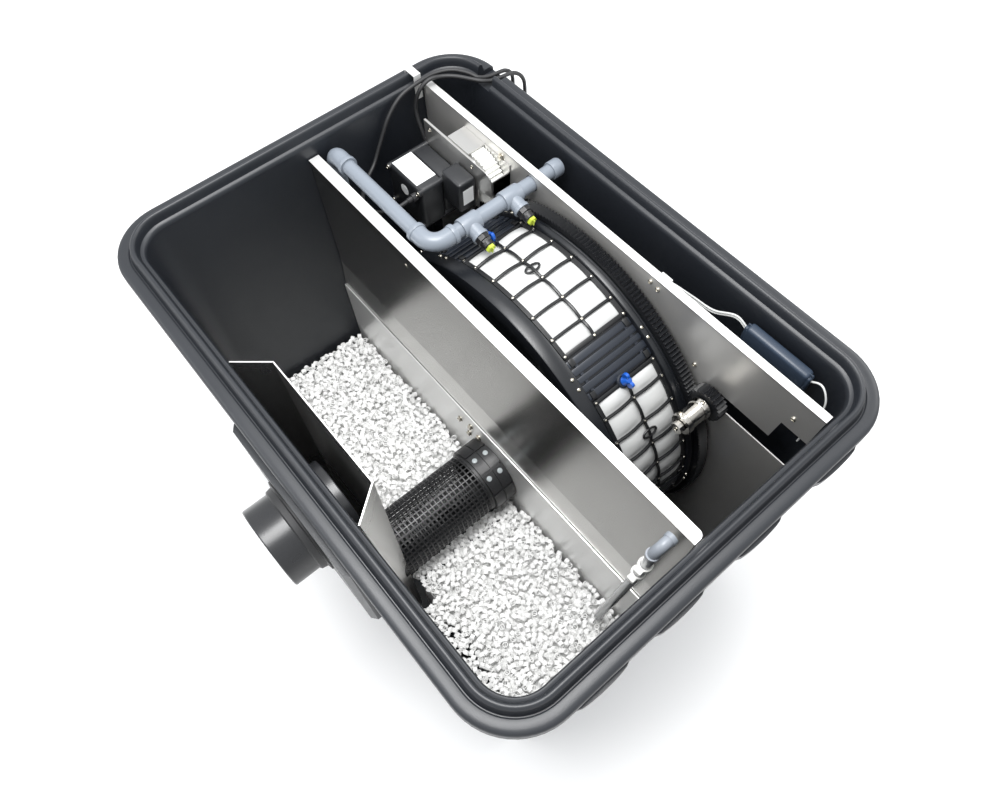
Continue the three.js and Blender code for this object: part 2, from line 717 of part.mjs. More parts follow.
const LEG = 34;
const riserPipe = () => join(
  barZ(PIPE_RADIUS, PIPE_START_X, PIPE_Y, RISER_LOW, PIPE_Z - LEG + 2),
  elbow([PIPE_START_X, PIPE_Y, PIPE_Z], [0, 0, -1], [1, 0, 0], LEG),
);
const crossPipe = () => barX(PIPE_RADIUS, PIPE_Y, PIPE_Z, PIPE_START_X + LEG + FIT, PIPE_X - LEG - FIT);
const nozzleDirection = () => {
  const aim = toRadians(-14);
  return [Math.cos(aim), Math.sin(aim)];
};

// a piece built along +X from the header's axis, then tipped down towards the drum
function aimed(geometry, y) {
  const [c, s] = nozzleDirection();
  return geometry.rotateY(-Math.atan2(s, c)).translate(PIPE_X, y, PIPE_Z);
}

// header with its two branches and its end cap, solvent-welded into one piece
function sprayHeader() {
  const pipe = barY(PIPE_RADIUS, PIPE_X, PIPE_Z, PIPE_Y + LEG + FIT, HEADER_END, 16);
  const cap = barY(FITTING_RADIUS - 1, PIPE_X, PIPE_Z, HEADER_END - 22, HEADER_END + 8, 16);
  const branches = NOZZLE_Y.flatMap((y) => [
    barY(FITTING_RADIUS + 1, PIPE_X, PIPE_Z, y - 24, y + 24, 16),
    aimed(barX(FITTING_RADIUS - 3, 0, 0, 2, BRANCH), y),
  ]);
  return join(pipe, cap, ...branches);
}

function nozzle(y) {
  const nut = barX(19, 0, 0, BRANCH + FIT, BRANCH + 20, 6);
  const neck = barX(12, 0, 0, BRANCH + 18, BRANCH + NOZZLE_LENGTH, 12);
  const tip = barX(8, 0, 0, BRANCH + NOZZLE_LENGTH - 2, BRANCH + NOZZLE_LENGTH + 18, 8);
  return aimed(join(nut, neck, tip), y);
}

const pumpX = -450;
function rinsePump() {
  const body = box(pumpX - 30, pumpX + 70, 26, 96, PUMP_Z, PUMP_Z + 130);
  return join(body, barZ(24, pumpX + 20, 61, PUMP_Z + 120, PUMP_Z + 170, 16));
}

const pumpHose = () => flexible([
  [pumpX + 20, 61, PUMP_Z + 171],
  [pumpX + 18, 60, PUMP_Z + 230],
  [pumpX - 8, 56, PUMP_Z + 330],
  [PIPE_START_X + 36, 50, 470],
  [PIPE_START_X + 10, 46, 600],
  [PIPE_START_X, PIPE_Y, 680],
  [PIPE_START_X, PIPE_Y, RISER_LOW - FIT],
], 13, 10, 24);

// ---- gutter and waste -------------------------------------------------------------------

function wasteGutter() {
  const wall = 4;
  const half = 120;
  const floor = WASTE_Z - WASTE_PIPE - 12;
  const section = outline([
    [DRUM_X - half, floor + 130],
    [DRUM_X - 60, floor],
    [DRUM_X + 60, floor],
    [DRUM_X + half, floor + 130],
    [DRUM_X + half - wall * 1.2, floor + 130],
    [DRUM_X + 60 - wall * 0.8, floor + wall],
    [DRUM_X - 60 + wall * 0.8, floor + wall],
    [DRUM_X - half + wall * 1.2, floor + 130],
  ]);
  const solid = outline([
    [DRUM_X - half, floor + 130],
    [DRUM_X - 60, floor],
    [DRUM_X + 60, floor],
    [DRUM_X + half, floor + 130],
  ]);
  const y1 = REAR_Y - 10;
  const trough = plateXZ(section, 118, y1);
  const front = plateXZ(solid, 118, 122);
  const rear = plateXZ(solid, y1 - 4, y1);
  const spigot = barY(WASTE_PIPE, DRUM_X, WASTE_Z, y1 - 2, WASTE_MOUTH, 24);
  const bore = barY(WASTE_BORE, DRUM_X, WASTE_Z, y1 - 10, WASTE_MOUTH + 10, 24);
  return cut(join(trough, front, rear, spigot), bore);
}

// ---- control box, leads and clips -------------------------------------------------------

const CASE = [328, 480, 362, 386, 812, 872];

function controlCase() {
  const [x0, x1, y0, y1, z0, z1] = CASE;
  return box(x0, x1, y0, y1, z0, z1);
}

const CLIP_Y = 288;
function cableClip() {
  const top = LEDGE_HEIGHT;
  const wallX = -(TANK_LENGTH / 2 - innerInset(top - 40)) + FIT + 2;
  const beadX = -TANK_LENGTH / 2 + BEAD_INSET;
  const over = top + BEAD_HEIGHT + FIT;
  const section = outline([
    [beadX - 10, over - 12],
    [beadX - 10, over + 2],
    [wallX + 2, over + 2],
    [wallX + 2, top - 40],
    [wallX, top - 40],
    [wallX, over],
    [beadX - 8, over],
    [beadX - 8, over - 12],
  ]);
  return plateXZ(section, CLIP_Y - 9, CLIP_Y + 9);
}

const HOSE_TOP = [518, -52, 838];
function airElbow() {
  const [x, y, z] = HOSE_TOP;
  const path = new THREE.CatmullRomCurve3([
    new THREE.Vector3(x + 2, -16.5, z + 8),
    new THREE.Vector3(x + 1, y + 14, z + 6),
    new THREE.Vector3(x, y, z),
    new THREE.Vector3(x - 2, y - 2, z - 18),
  ], false, 'centripetal');
  const section = new THREE.Shape().absarc(0, 0, 9, 0, 2 * Math.PI, false);
  return new THREE.ExtrudeGeometry(section, { steps: 10, bevelEnabled: false, curveSegments: 5, extrudePath: path });
}

const airHose = () => flexible([
  [HOSE_TOP[0] - 3, HOSE_TOP[1] - 3, HOSE_TOP[2] - 19],
  [HOSE_TOP[0] - 4, HOSE_TOP[1] - 4, HOSE_TOP[2] - 60],
  [HOSE_TOP[0] - 14, HOSE_TOP[1] - 6, 640],
  [HOSE_TOP[0] - 26, HOSE_TOP[1] - 8, 480],
  [HOSE_TOP[0] - 36, HOSE_TOP[1] - 10, 360],
  [HOSE_TOP[0] - 40, HOSE_TOP[1] - 12, 280],
], 10, 10, 20);

// ---- cables -----------------------------------------------------------------------------

const cableFloor = CABLE_RADIUS + 0.6;
const notchZ = NOTCH_FLOOR + CABLE_RADIUS + 1.5;

// from inside the corner, out through the rim's notch and down behind the tank to the floor
const overRim = (x, dropY, coilX) => [
  [x - 9, 396, LEDGE_HEIGHT + 4],
  [x - 3, 418, notchZ + 3],
  [x - 1, 440, notchZ + 0.5],
  ...[0, 22.5, 45, 67.5, 90].map(toRadians).map((turn) => {
    const radius = dropY - RIM_BEND_Y;
    return [x, RIM_BEND_Y + radius * Math.sin(turn), notchZ - radius * (1 - Math.cos(turn))];
  }),
  [x, dropY, 600],
  [x, dropY, 300],
  [x, dropY, cableFloor + 60],
  ...[0, 22.5, 45, 67.5, 90].map(toRadians).map((turn) => (
    [x + 45 * (1 - Math.cos(turn)), dropY, cableFloor + 45 * (1 - Math.sin(turn))]
  )),
  [x + 55, dropY, cableFloor],
  [coilX - 46, dropY, cableFloor],
];

const glandFront = MOTOR_CENTRE[1] - MOTOR_SIZE[1] / 2 - 26 - 2 * FIT;
const motorCable = () => flexible([
  [-382, glandFront, MOTOR_CENTRE[2] + 40],
  [-382, glandFront - 22, MOTOR_CENTRE[2] + 39],
  [-392, glandFront - 50, MOTOR_CENTRE[2] + 34],
  [-424, glandFront - 70, MOTOR_CENTRE[2] + 26],
  [-466, glandFront - 62, MOTOR_CENTRE[2] + 20],
  [-505, glandFront - 28, MOTOR_CENTRE[2] + 18],
  [-528, 130, MOTOR_CENTRE[2] + 28],
  [-538, 162, MOTOR_CENTRE[2] + 66],
  [-542, 196, MOTOR_CENTRE[2] + 116],
  [-544, 236, MOTOR_CENTRE[2] + 148],
  [-544, 288, LEDGE_HEIGHT + 8],
  [-543, 330, LEDGE_HEIGHT + 8],
  [-526, 366, LEDGE_HEIGHT + 8],
  [-494, 388, LEDGE_HEIGHT + 7],
  ...overRim(-467, MOTOR_DROP_Y, MOTOR_COIL_X),
], CABLE_RADIUS, 8, 60);

const pumpCable = () => flexible([
  [pumpX + 20, 97, PUMP_Z + 90],
  [pumpX + 20, 124, PUMP_Z + 92],
  [pumpX + 6, 160, PUMP_Z + 120],
  [pumpX - 12, 196, 240],
  [pumpX - 22, 220, 340],
  [pumpX - 34, 240, 480],
  [pumpX - 46, 254, 640],
  [pumpX - 52, 262, 760],
  [-541, 268, 850],
  [-537, 282, 894],
  [-533, 306, LEDGE_HEIGHT + 10],
  [-526, 334, LEDGE_HEIGHT + 8],
  [-508, 358, LEDGE_HEIGHT + 7],
  ...overRim(-451, PUMP_DROP_Y, PUMP_COIL_X),
], CABLE_RADIUS, 8, 60);

function coil(x, dropY, across, high) {
  const half = across * CABLE_RADIUS;
  const points = [[-half, 0.5], [half, 0.5], [half, high], [-half, high], [-half, 0.5]];
  const profile = points.map(([r, z]) => new THREE.Vector2(COIL_RADIUS + r, z));
  return new THREE.LatheGeometry(profile, 24).rotateX(Math.PI / 2).translate(x, dropY - COIL_RADIUS, 0);
}

// a two-pin mains plug lying behind its coil
function plug(coilX, dropY) {
  const x = coilX + 72.5;
  const y = dropY - COIL_RADIUS + 34;
  const body = barX(18, y, 18.2, x, x + 38, 16);
  const nose = barX(9, y, 18.2, x - 14, x + 2, 12);
  const pins = [-9.5, 9.5].map((side) => barX(2.4, y + side, 18.2, x + 36, x + 57, 8));
  return join(body, nose, ...pins);
}

// ---- assembly ---------------------------------------------------------------------------

const filter = new THREE.Group();

function place(name, geometry, material) {
  const mesh = new THREE.Mesh(geometry, material);
  mesh.name = name;
  filter.add(mesh);
}

place('tank_shell', tankShell(), tankPlastic);
place('outlet_pipe', outletPipe(), blackPlastic);
place('baffle_box', baffleBox(), stainless);
place('front_sheet', frontSheet(), stainless);
place('front_lower_sheet', frontLowerSheet(), stainless);
place('rear_sheet', rearSheet(), stainless);
place('rear_collar', rearCollar(), stainless);
place('carrier_bed_left', carrierBed(-1), whiteNylon);
place('carrier_bed_right', carrierBed(1), whiteNylon);
place('strainer_tube', strainerTube(), blackPlastic);
place('strainer_cap', strainerCap(), blackPlastic);
INLET_X.forEach((x, i) => place(`inlet_pipe_${i + 1}`, inletPipe(x), greyPipe));
place('waste_gutter', wasteGutter(), stainless);
place('axle_bracket', axleBracket(), stainless);
place('axle_bush', axleBush(), whiteNylon);

place('drum_frame', drumFrame(), anthracite);
place('drum_end_disc', drumEndDisc(), anthracite);
place('drum_axle', drumAxle(), stainless);
place('drum_seal', drumSeal(), rubber);
place('ring_gear', ringGear(), blackPlastic);
for (let i = 0; i < PANEL_COUNT; i += 1) {
  place(`screen_panel_${i + 1}`, screenPanel(i), screenCloth);
}
for (let i = 0; i < PANEL_COUNT; i += 1) {
  place(`wing_latch_${i + 1}`, wingLatch(i), bluePlastic);
}

place('drive_gear', driveGear(), whiteNylon);
place('drive_shaft', driveShaft(), stainless);
place('guide_gear', guideGear(), blackPlastic);
place('guide_sleeve', guideSleeve(), stainless);
place('guide_axle', guideAxle(), stainless);
place('motor_body', motorBody(), blackPlastic);
place('motor_plate', motorPlate(), stainless);
place('motor_bracket', motorBracket(), stainless);
place('motor_gland', motorGland(), blackPlastic);

place('riser_pipe', riserPipe(), greyPipe);
place('cross_pipe', crossPipe(), greyPipe);
place('header_elbow', elbow([PIPE_X, PIPE_Y, PIPE_Z], [-1, 0, 0], [0, 1, 0], LEG), greyPipe);
place('spray_header', sprayHeader(), greyPipe);
NOZZLE_Y.forEach((y, i) => place(`nozzle_${i + 1}`, nozzle(y), blackPlastic));
place('rinse_pump', rinsePump(), blackPlastic);
place('pump_hose', pumpHose(), hoseVinyl);

place('control_case', controlCase(), greyCase);
place('cable_clip', cableClip(), stainless);
place('air_elbow', airElbow(), greyPipe);
place('air_hose', airHose(), hoseVinyl);

place('motor_cable', motorCable(), rubber);
place('motor_cable_coil', coil(MOTOR_COIL_X, MOTOR_DROP_Y, 3, 30), rubber);
place('motor_plug', plug(MOTOR_COIL_X, MOTOR_DROP_Y), rubber);
place('pump_cable', pumpCable(), rubber);
place('pump_cable_coil', coil(PUMP_COIL_X, PUMP_DROP_Y, 3, 30), rubber);
place('pump_plug', plug(PUMP_COIL_X, PUMP_DROP_Y), rubber);

export default filter;
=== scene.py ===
import math

import bmesh
import bpy
from mathutils import Matrix, Vector, noise


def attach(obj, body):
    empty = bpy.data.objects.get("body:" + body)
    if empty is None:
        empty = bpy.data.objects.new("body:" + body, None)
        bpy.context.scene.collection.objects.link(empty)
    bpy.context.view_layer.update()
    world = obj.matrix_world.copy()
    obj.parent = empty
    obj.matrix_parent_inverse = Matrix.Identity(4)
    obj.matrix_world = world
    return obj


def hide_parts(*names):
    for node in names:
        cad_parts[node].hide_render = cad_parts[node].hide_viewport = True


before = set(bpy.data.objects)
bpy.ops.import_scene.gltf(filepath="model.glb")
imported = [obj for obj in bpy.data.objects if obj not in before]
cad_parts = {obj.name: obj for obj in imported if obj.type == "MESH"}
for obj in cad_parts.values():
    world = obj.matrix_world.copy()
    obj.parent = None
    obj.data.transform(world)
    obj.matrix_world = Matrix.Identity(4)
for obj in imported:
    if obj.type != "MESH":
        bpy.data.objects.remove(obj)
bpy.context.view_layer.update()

# ---- Camera, floor and light -------------------------------------------------------------
# The filter stands on a plain pale floor under a white tent of light, and is seen from above
# its outlet side, over the right-hand end.
camera = bpy.data.objects.new("camera", bpy.data.cameras.new("camera"))
bpy.context.scene.collection.objects.link(camera)
view_right = Vector((0.6464, 0.7630, -0.0095))
view_up = Vector((-0.6679, 0.5718, 0.4767))
view_back = view_right.cross(view_up).normalized()
view_up = view_back.cross(view_right).normalized()
turned_view = Matrix((view_right.normalized(), view_up, view_back)).transposed().to_4x4()
camera.matrix_world = Matrix.Translation((0.6446, -0.4750, 2.0354)) @ turned_view
camera.data.lens = 27.47
camera.data.sensor_width = 36.0
camera.data.clip_start = 0.01
bpy.context.scene.camera = camera

floor_mesh = bpy.data.meshes.new("studio_floor")
floor_mesh.from_pydata([(-9, -9, 0), (9, -9, 0), (9, 9, 0), (-9, 9, 0)], [], [(0, 1, 2, 3)])
studio_floor = bpy.data.objects.new("studio_floor", floor_mesh)
bpy.context.scene.collection.objects.link(studio_floor)
floor_paint = bpy.data.materials.new("floor_paint")
floor_paint.use_nodes = True
floor_paint.node_tree.nodes["Principled BSDF"].inputs["Base Color"].default_value = (0.98, 0.98, 0.98, 1)
floor_paint.node_tree.nodes["Principled BSDF"].inputs["Roughness"].default_value = 0.9
floor_mesh.materials.append(floor_paint)

bpy.context.scene.view_settings.view_transform = "Standard"
tent = bpy.data.worlds.new("tent")
bpy.context.scene.world = tent
tent.use_nodes = True
tent.node_tree.nodes["Background"].inputs["Color"].default_value = (0.97, 0.985, 1.0, 1)
tent.node_tree.nodes["Background"].inputs["Strength"].default_value = 1.0


def softbox(name, place, target, size, watts):
    """A square lamp aimed at a point."""
    lamp = bpy.data.lights.new(name, "AREA")
    lamp.size = size
    lamp.energy = watts
    holder = bpy.data.objects.new(name, lamp)
    holder.location = place
    holder.rotation_euler = (Vector(target) - Vector(place)).to_track_quat("-Z", "Y").to_euler()
    bpy.context.scene.collection.objects.link(holder)


softbox("into_the_bed", (0.05, -0.35, 2.7), (0, -0.20, 0.3), 0.9, 40)
softbox("overhead", (-0.3, 0.4, 3.4), (0, 0, 0.5), 1.6, 42)
softbox("from_outlet_side", (-1.6, -2.4, 2.6), (0, 0, 0.6), 1.6, 26)
softbox("from_far_side", (0.6, 2.6, 2.2), (0, 0, 0.8), 1.4, 22)

# ---- Mains cables ------------------------------------------------------------------------
# Two round rubber leads, one from the drum motor and one from the rinse pump. Both climb the
# short wall, turn the corner inside the rim, leave through its notch and hang to the floor
# behind the tank, where the spare length is coiled beside its plug.


def smooth_route(points, gap):
    """Evenly spread points on a smooth curve through the chosen ones, as Vectors."""
    ends = [2 * Vector(points[0]) - Vector(points[1])] + [Vector(p) for p in points]
    ends.append(2 * ends[-1] - ends[-2])
    dense = []
    for a, b, c, d in zip(ends, ends[1:], ends[2:], ends[3:]):
        knots = [0.0]
        for p, q in ((a, b), (b, c), (c, d)):
            knots.append(knots[-1] + max((q - p).length, 1e-6) ** 0.5)
        for i in range(24):
            t = knots[1] + (knots[2] - knots[1]) * i / 24
            def between(p, q, s0, s1):
                return p * ((s1 - t) / (s1 - s0)) + q * ((t - s0) / (s1 - s0))
            ab, bc, cd = (between(p, q, s0, s1) for p, q, s0, s1 in (
                (a, b, knots[0], knots[1]), (b, c, knots[1], knots[2]), (c, d, knots[2], knots[3])))
            abc = between(ab, bc, knots[0], knots[2])
            bcd = between(bc, cd, knots[1], knots[3])
            dense.append(between(abc, bcd, knots[1], knots[2]))
    dense.append(ends[-2])
    total = sum((q - p).length for p, q in zip(dense, dense[1:]))
    count = max(2, round(total / gap))
    spread, walked, step = [dense[0]], 0.0, total / count
    for p, q in zip(dense, dense[1:]):
        piece = (q - p).length
        while walked + piece >= step * len(spread) - 1e-9 and len(spread) < count:
            spread.append(p.lerp(q, (step * len(spread) - walked) / max(piece, 1e-9)))
        walked += piece
    spread.append(dense[-1])
    return spread


def surface_group():
    """Slow colour and gloss variation with a fine grain, shared by every finish."""
    tree = bpy.data.node_groups.new("surface variation", "ShaderNodeTree")
    face = tree.interface
    for label, kind, value in (
        ("Vector", "NodeSocketVector", None), ("Colour", "NodeSocketColor", (0.5, 0.5, 0.5, 1)),
        ("Tone", "NodeSocketFloat", 0.1), ("Roughness", "NodeSocketFloat", 0.5),
        ("Spread", "NodeSocketFloat", 0.1), ("Patch Scale", "NodeSocketFloat", 8.0),
        ("Grain Scale", "NodeSocketFloat", 300.0), ("Dust", "NodeSocketFloat", 0.0),
    ):
        socket = face.new_socket(name=label, in_out="INPUT", socket_type=kind)
        if value is not None:
            socket.default_value = value
    for label, kind in (("Colour", "NodeSocketColor"), ("Roughness", "NodeSocketFloat"),
                        ("Height", "NodeSocketFloat")):
        face.new_socket(name=label, in_out="OUTPUT", socket_type=kind)
    nodes, links = tree.nodes, tree.links
    given = nodes.new("NodeGroupInput")
    result = nodes.new("NodeGroupOutput")
    patches = nodes.new("ShaderNodeTexNoise")
    patches.inputs["Detail"].default_value = 5
    grain = nodes.new("ShaderNodeTexNoise")
    grain.inputs["Detail"].default_value = 3
    links.new(given.outputs["Vector"], patches.inputs["Vector"])
    links.new(given.outputs["Vector"], grain.inputs["Vector"])
    links.new(given.outputs["Patch Scale"], patches.inputs["Scale"])
    links.new(given.outputs["Grain Scale"], grain.inputs["Scale"])
    centred = nodes.new("ShaderNodeMath")
    centred.operation = "SUBTRACT"
    centred.inputs[1].default_value = 0.5
    links.new(patches.outputs["Fac"], centred.inputs[0])
    toned = nodes.new("ShaderNodeMath")
    toned.operation = "MULTIPLY_ADD"
    toned.inputs[2].default_value = 1.0
    links.new(centred.outputs[0], toned.inputs[0])
    links.new(given.outputs["Tone"], toned.inputs[1])
    shade = nodes.new("ShaderNodeVectorMath")
    shade.operation = "SCALE"
    links.new(given.outputs["Colour"], shade.inputs[0])
    links.new(toned.outputs[0], shade.inputs["Scale"])
    facing = nodes.new("ShaderNodeNewGeometry")
    apart = nodes.new("ShaderNodeSeparateXYZ")
    links.new(facing.outputs["Normal"], apart.inputs[0])
    settled = nodes.new("ShaderNodeMath")
    settled.operation = "MULTIPLY"
    settled.use_clamp = True
    links.new(apart.outputs["Z"], settled.inputs[0])
    links.new(given.outputs["Dust"], settled.inputs[1])
    dusted = nodes.new("ShaderNodeMath")
    dusted.operation = "MULTIPLY"
    links.new(settled.outputs[0], dusted.inputs[0])
    links.new(grain.outputs["Fac"], dusted.inputs[1])
    coat = nodes.new("ShaderNodeMix")
    coat.data_type = "RGBA"
    coat.inputs[7].default_value = (0.42, 0.43, 0.45, 1)
    links.new(dusted.outputs[0], coat.inputs[0])
    links.new(shade.outputs[0], coat.inputs[6])
    links.new(coat.outputs[2], result.inputs["Colour"])
    gloss = nodes.new("ShaderNodeMath")
    gloss.operation = "MULTIPLY_ADD"
    gloss.use_clamp = True
    links.new(centred.outputs[0], gloss.inputs[0])
    links.new(given.outputs["Spread"], gloss.inputs[1])
    links.new(given.outputs["Roughness"], gloss.inputs[2])
    links.new(gloss.outputs[0], result.inputs["Roughness"])
    links.new(grain.outputs["Fac"], result.inputs["Height"])
    return tree


surface_variation = surface_group()


def finish_of(name, colour, rough, metal=0.0, tone=0.25, spread=0.12, patch=9.0, grain=420.0,
              depth=0.00006, stretch=(1, 1, 1), dust=0.0, coat=0.0):
    """A material with slow variation and a grain at real scale, on object coordinates."""
    material = bpy.data.materials.new(name)
    material.use_nodes = True
    nodes, links = material.node_tree.nodes, material.node_tree.links
    shader = nodes["Principled BSDF"]
    where = nodes.new("ShaderNodeTexCoord")
    mapping = nodes.new("ShaderNodeMapping")
    mapping.inputs["Scale"].default_value = stretch
    vary = nodes.new("ShaderNodeGroup")
    vary.node_tree = surface_variation
    vary.inputs["Colour"].default_value = (*colour, 1)
    vary.inputs["Tone"].default_value = tone
    vary.inputs["Roughness"].default_value = rough
    vary.inputs["Spread"].default_value = spread
    vary.inputs["Patch Scale"].default_value = patch
    vary.inputs["Grain Scale"].default_value = grain
    vary.inputs["Dust"].default_value = dust
    links.new(where.outputs["Object"], mapping.inputs["Vector"])
    links.new(mapping.outputs["Vector"], vary.inputs["Vector"])
    links.new(vary.outputs["Colour"], shader.inputs["Base Color"])
    links.new(vary.outputs["Roughness"], shader.inputs["Roughness"])
    bump = nodes.new("ShaderNodeBump")
    bump.inputs["Strength"].default_value = 1.0
    bump.inputs["Distance"].default_value = depth
    links.new(vary.outputs["Height"], bump.inputs["Height"])
    links.new(bump.outputs["Normal"], shader.inputs["Normal"])
    shader.inputs["Metallic"].default_value = metal
    if coat:
        shader.inputs["Coat Weight"].default_value = coat
        shader.inputs["Coat Roughness"].default_value = 0.12
    return material


def refinish(material, *names):
    """Gives CAD nodes that stay in view a finish."""
    for name in names:
        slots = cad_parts[name].data.materials
        slots.clear()
        slots.append(material)


black_rubber = finish_of("black_rubber", (0.012, 0.012, 0.013), 0.52, depth=0.00004, dust=0.05)


def cable_curve(name, points, radius, material):
    data = bpy.data.curves.new(name, "CURVE")
    data.dimensions = "3D"
    data.bevel_depth = radius
    data.bevel_resolution = 3
    data.use_fill_caps = True
    line = data.splines.new("POLY")
    line.points.add(len(points) - 1)
    for spot, p in zip(line.points, points):
        spot.co = (*p, 1)
    line.use_smooth = True
    data.materials.append(material)
    piece = bpy.data.objects.new(name, data)
    bpy.context.scene.collection.objects.link(piece)
    return piece


cable_radius = 0.0045
ledge_z = 0.9
notch_z = ledge_z - 0.012 + cable_radius + 0.0015
floor_z = cable_radius + 0.0006


def over_rim(x, drop_y, coil_x):
    """Out through the notch, down behind the tank and along the floor to the coil."""
    bend = [math.radians(a) for a in (0, 22.5, 45, 67.5, 90)]
    return [
        (x - 0.009, 0.396, ledge_z + 0.004), (x - 0.003, 0.418, notch_z + 0.003),
        (x - 0.001, 0.440, notch_z + 0.0005),
        *[(x, 0.450 + (drop_y - 0.450) * math.sin(a),
           notch_z - (drop_y - 0.450) * (1 - math.cos(a))) for a in bend],
        (x, drop_y, 0.6), (x, drop_y, 0.3), (x, drop_y, floor_z + 0.060),
        *[(x + 0.045 * (1 - math.cos(a)), drop_y, floor_z + 0.045 * (1 - math.sin(a))) for a in bend],
        (x + 0.055, drop_y, floor_z), ((x + coil_x) / 2, drop_y + 0.005, floor_z),
        (coil_x - 0.060, drop_y + 0.009, floor_z), (coil_x - 0.030, drop_y + 0.009, floor_z),
    ]


def coil_turns(coil_x, drop_y):
    """Six clockwise turns in two layers, then a step up and across into the plug."""
    centre_y = drop_y - 0.0495
    cells = [(0.0585, 0), (0.0495, 0), (0.0405, 0), (0.0405, 1), (0.0495, 1), (0.0585, 1), (0.0585, 2)]
    points = []
    for (r0, l0), (r1, l1) in zip(cells, cells[1:]):
        for i in range(36):
            part = max(0.0, (i / 36 - 0.72) / 0.28)
            ease = part * part * (3 - 2 * part)
            radius = r0 + (r1 - r0) * ease
            level = l0 + (l1 - l0) * ease
            angle = math.pi / 2 - 2 * math.pi * i / 36
            points.append((
                coil_x + radius * math.cos(angle), centre_y + radius * math.sin(angle),
                floor_z + 2 * cable_radius * level,
            ))
    top = floor_z + 4 * cable_radius
    points += [
        (coil_x, centre_y + 0.0585, top), (coil_x + 0.012, centre_y + 0.0572, top),
        (coil_x + 0.029, centre_y + 0.0480, top - 0.0005), (coil_x + 0.046, centre_y + 0.0368, top - 0.003),
        (coil_x + 0.0580, centre_y + 0.0340, 0.0182),
    ]
    return points


cable_routes = {
    "motor": ([
        (-0.382, 0.1167, 0.790), (-0.382, 0.0947, 0.789), (-0.392, 0.0667, 0.784),
        (-0.424, 0.0467, 0.776), (-0.466, 0.0547, 0.770), (-0.505, 0.0887, 0.768),
        (-0.528, 0.130, 0.778), (-0.538, 0.162, 0.816), (-0.542, 0.196, 0.866),
        (-0.544, 0.236, 0.898), (-0.544, 0.288, 0.908), (-0.543, 0.330, 0.908),
        (-0.526, 0.366, 0.908), (-0.494, 0.388, 0.907),
    ], -0.467, 0.490, -0.250),
    "pump": ([
        (-0.430, 0.097, 0.102), (-0.430, 0.124, 0.104), (-0.444, 0.160, 0.132),
        (-0.462, 0.196, 0.240), (-0.472, 0.220, 0.340), (-0.484, 0.240, 0.480),
        (-0.496, 0.254, 0.640), (-0.502, 0.262, 0.760), (-0.541, 0.268, 0.850),
        (-0.537, 0.282, 0.894), (-0.533, 0.306, 0.910), (-0.526, 0.334, 0.908),
        (-0.508, 0.358, 0.907),
    ], -0.451, 0.513, -0.040),
}
for lead, (start, drop_x, drop_y, coil_x) in cable_routes.items():
    laid = smooth_route(start + over_rim(drop_x, drop_y, coil_x) + coil_turns(coil_x, drop_y), 0.006)
    length = sum((q - p).length for p, q in zip(laid, laid[1:]))
    piece = cable_curve(f"{lead}_lead", laid, cable_radius, black_rubber)
    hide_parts(f"{lead}_cable", f"{lead}_cable_coil")
    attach(piece, "tank")
    refinish(black_rubber, f"{lead}_plug")

# ---- Tank --------------------------------------------------------------------------------
# A rotationally moulded polyethylene tank whose walls lean in towards the floor. Its rim is a
# turned-down skirt, a flat ledge for the lid and a raised bead, with grips under the ends. The
# outlet wall is thickened to a flat pad, and the leads leave through a notch in the rim.


def closed_piece(name, bm, material, sharp=35):
    """A finished object from a mesh in the making, smooth up to a sharp angle."""
    bmesh.ops.remove_doubles(bm, verts=bm.verts, dist=1e-6)
    bmesh.ops.recalc_face_normals(bm, faces=bm.faces)
    mesh = bpy.data.meshes.new(name)
    bm.to_mesh(mesh)
    bm.free()
    mesh.shade_smooth()
    mesh.set_sharp_from_angle(angle=math.radians(sharp))
    mesh.materials.append(material)
    piece = bpy.data.objects.new(name, mesh)
    bpy.context.scene.collection.objects.link(piece)
    return piece


def fixed_to(body, slot, piece, *nodes):
    """Fixes a piece to a body and hides the parts that it stands for; its slot is not used."""
    if nodes:
        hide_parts(*nodes)
    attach(piece, body)
    return piece


def add_block(bm, low, high, soft=0.0, steps=2, turn=None):
    """A box with softened edges. turn is a matrix applied to its corners."""
    made = bmesh.ops.create_cube(bm, size=1.0)
    size = Vector(high) - Vector(low)
    middle = (Vector(high) + Vector(low)) / 2
    for vert in made["verts"]:
        vert.co = Vector((vert.co.x * size.x, vert.co.y * size.y, vert.co.z * size.z)) + middle
    if soft:
        edges = list({e for v in made["verts"] for e in v.link_edges})
        ends = bmesh.ops.bevel(bm, geom=edges, offset=soft, segments=steps, affect="EDGES", profile=0.5)
        verts = list({v for f in ends["faces"] for v in f.verts} | {v for v in made["verts"] if v.is_valid})
    else:
        verts = made["verts"]
    if turn is not None:
        bmesh.ops.transform(bm, matrix=turn, verts=verts)
    return verts


def along(axis):
    """A matrix whose Z axis is the given direction."""
    return Vector(axis).to_track_quat("Z", "Y").to_matrix().to_4x4()


def add_turned(bm, profile, place, axis, sides=48):
    """A closed profile of (radius, height) turned about an axis through a place."""
    frame_of = Matrix.Translation(place) @ along(axis)
    rings = []
    for radius, height in profile:
        if radius < 1e-7:
            rings.append([bm.verts.new(frame_of @ Vector((0, 0, height)))])
        else:
            rings.append([bm.verts.new(frame_of @ Vector((
                radius * math.cos(2 * math.pi * i / sides), radius * math.sin(2 * math.pi * i / sides),
                height,
            ))) for i in range(sides)])
    on_axis = len(rings[0]) == 1 and len(rings[-1]) == 1
    pairs = list(zip(rings, rings[1:]))
    if not on_axis:
        pairs.append((rings[-1], rings[0]))
    for a, b in pairs:
        for i in range(sides):
            j = (i + 1) % sides
            corners = [a[i % len(a)], a[j % len(a)], b[j % len(b)], b[i % len(b)]]
            corners = list(dict.fromkeys(corners))
            if len(corners) > 2:
                bm.faces.new(corners)


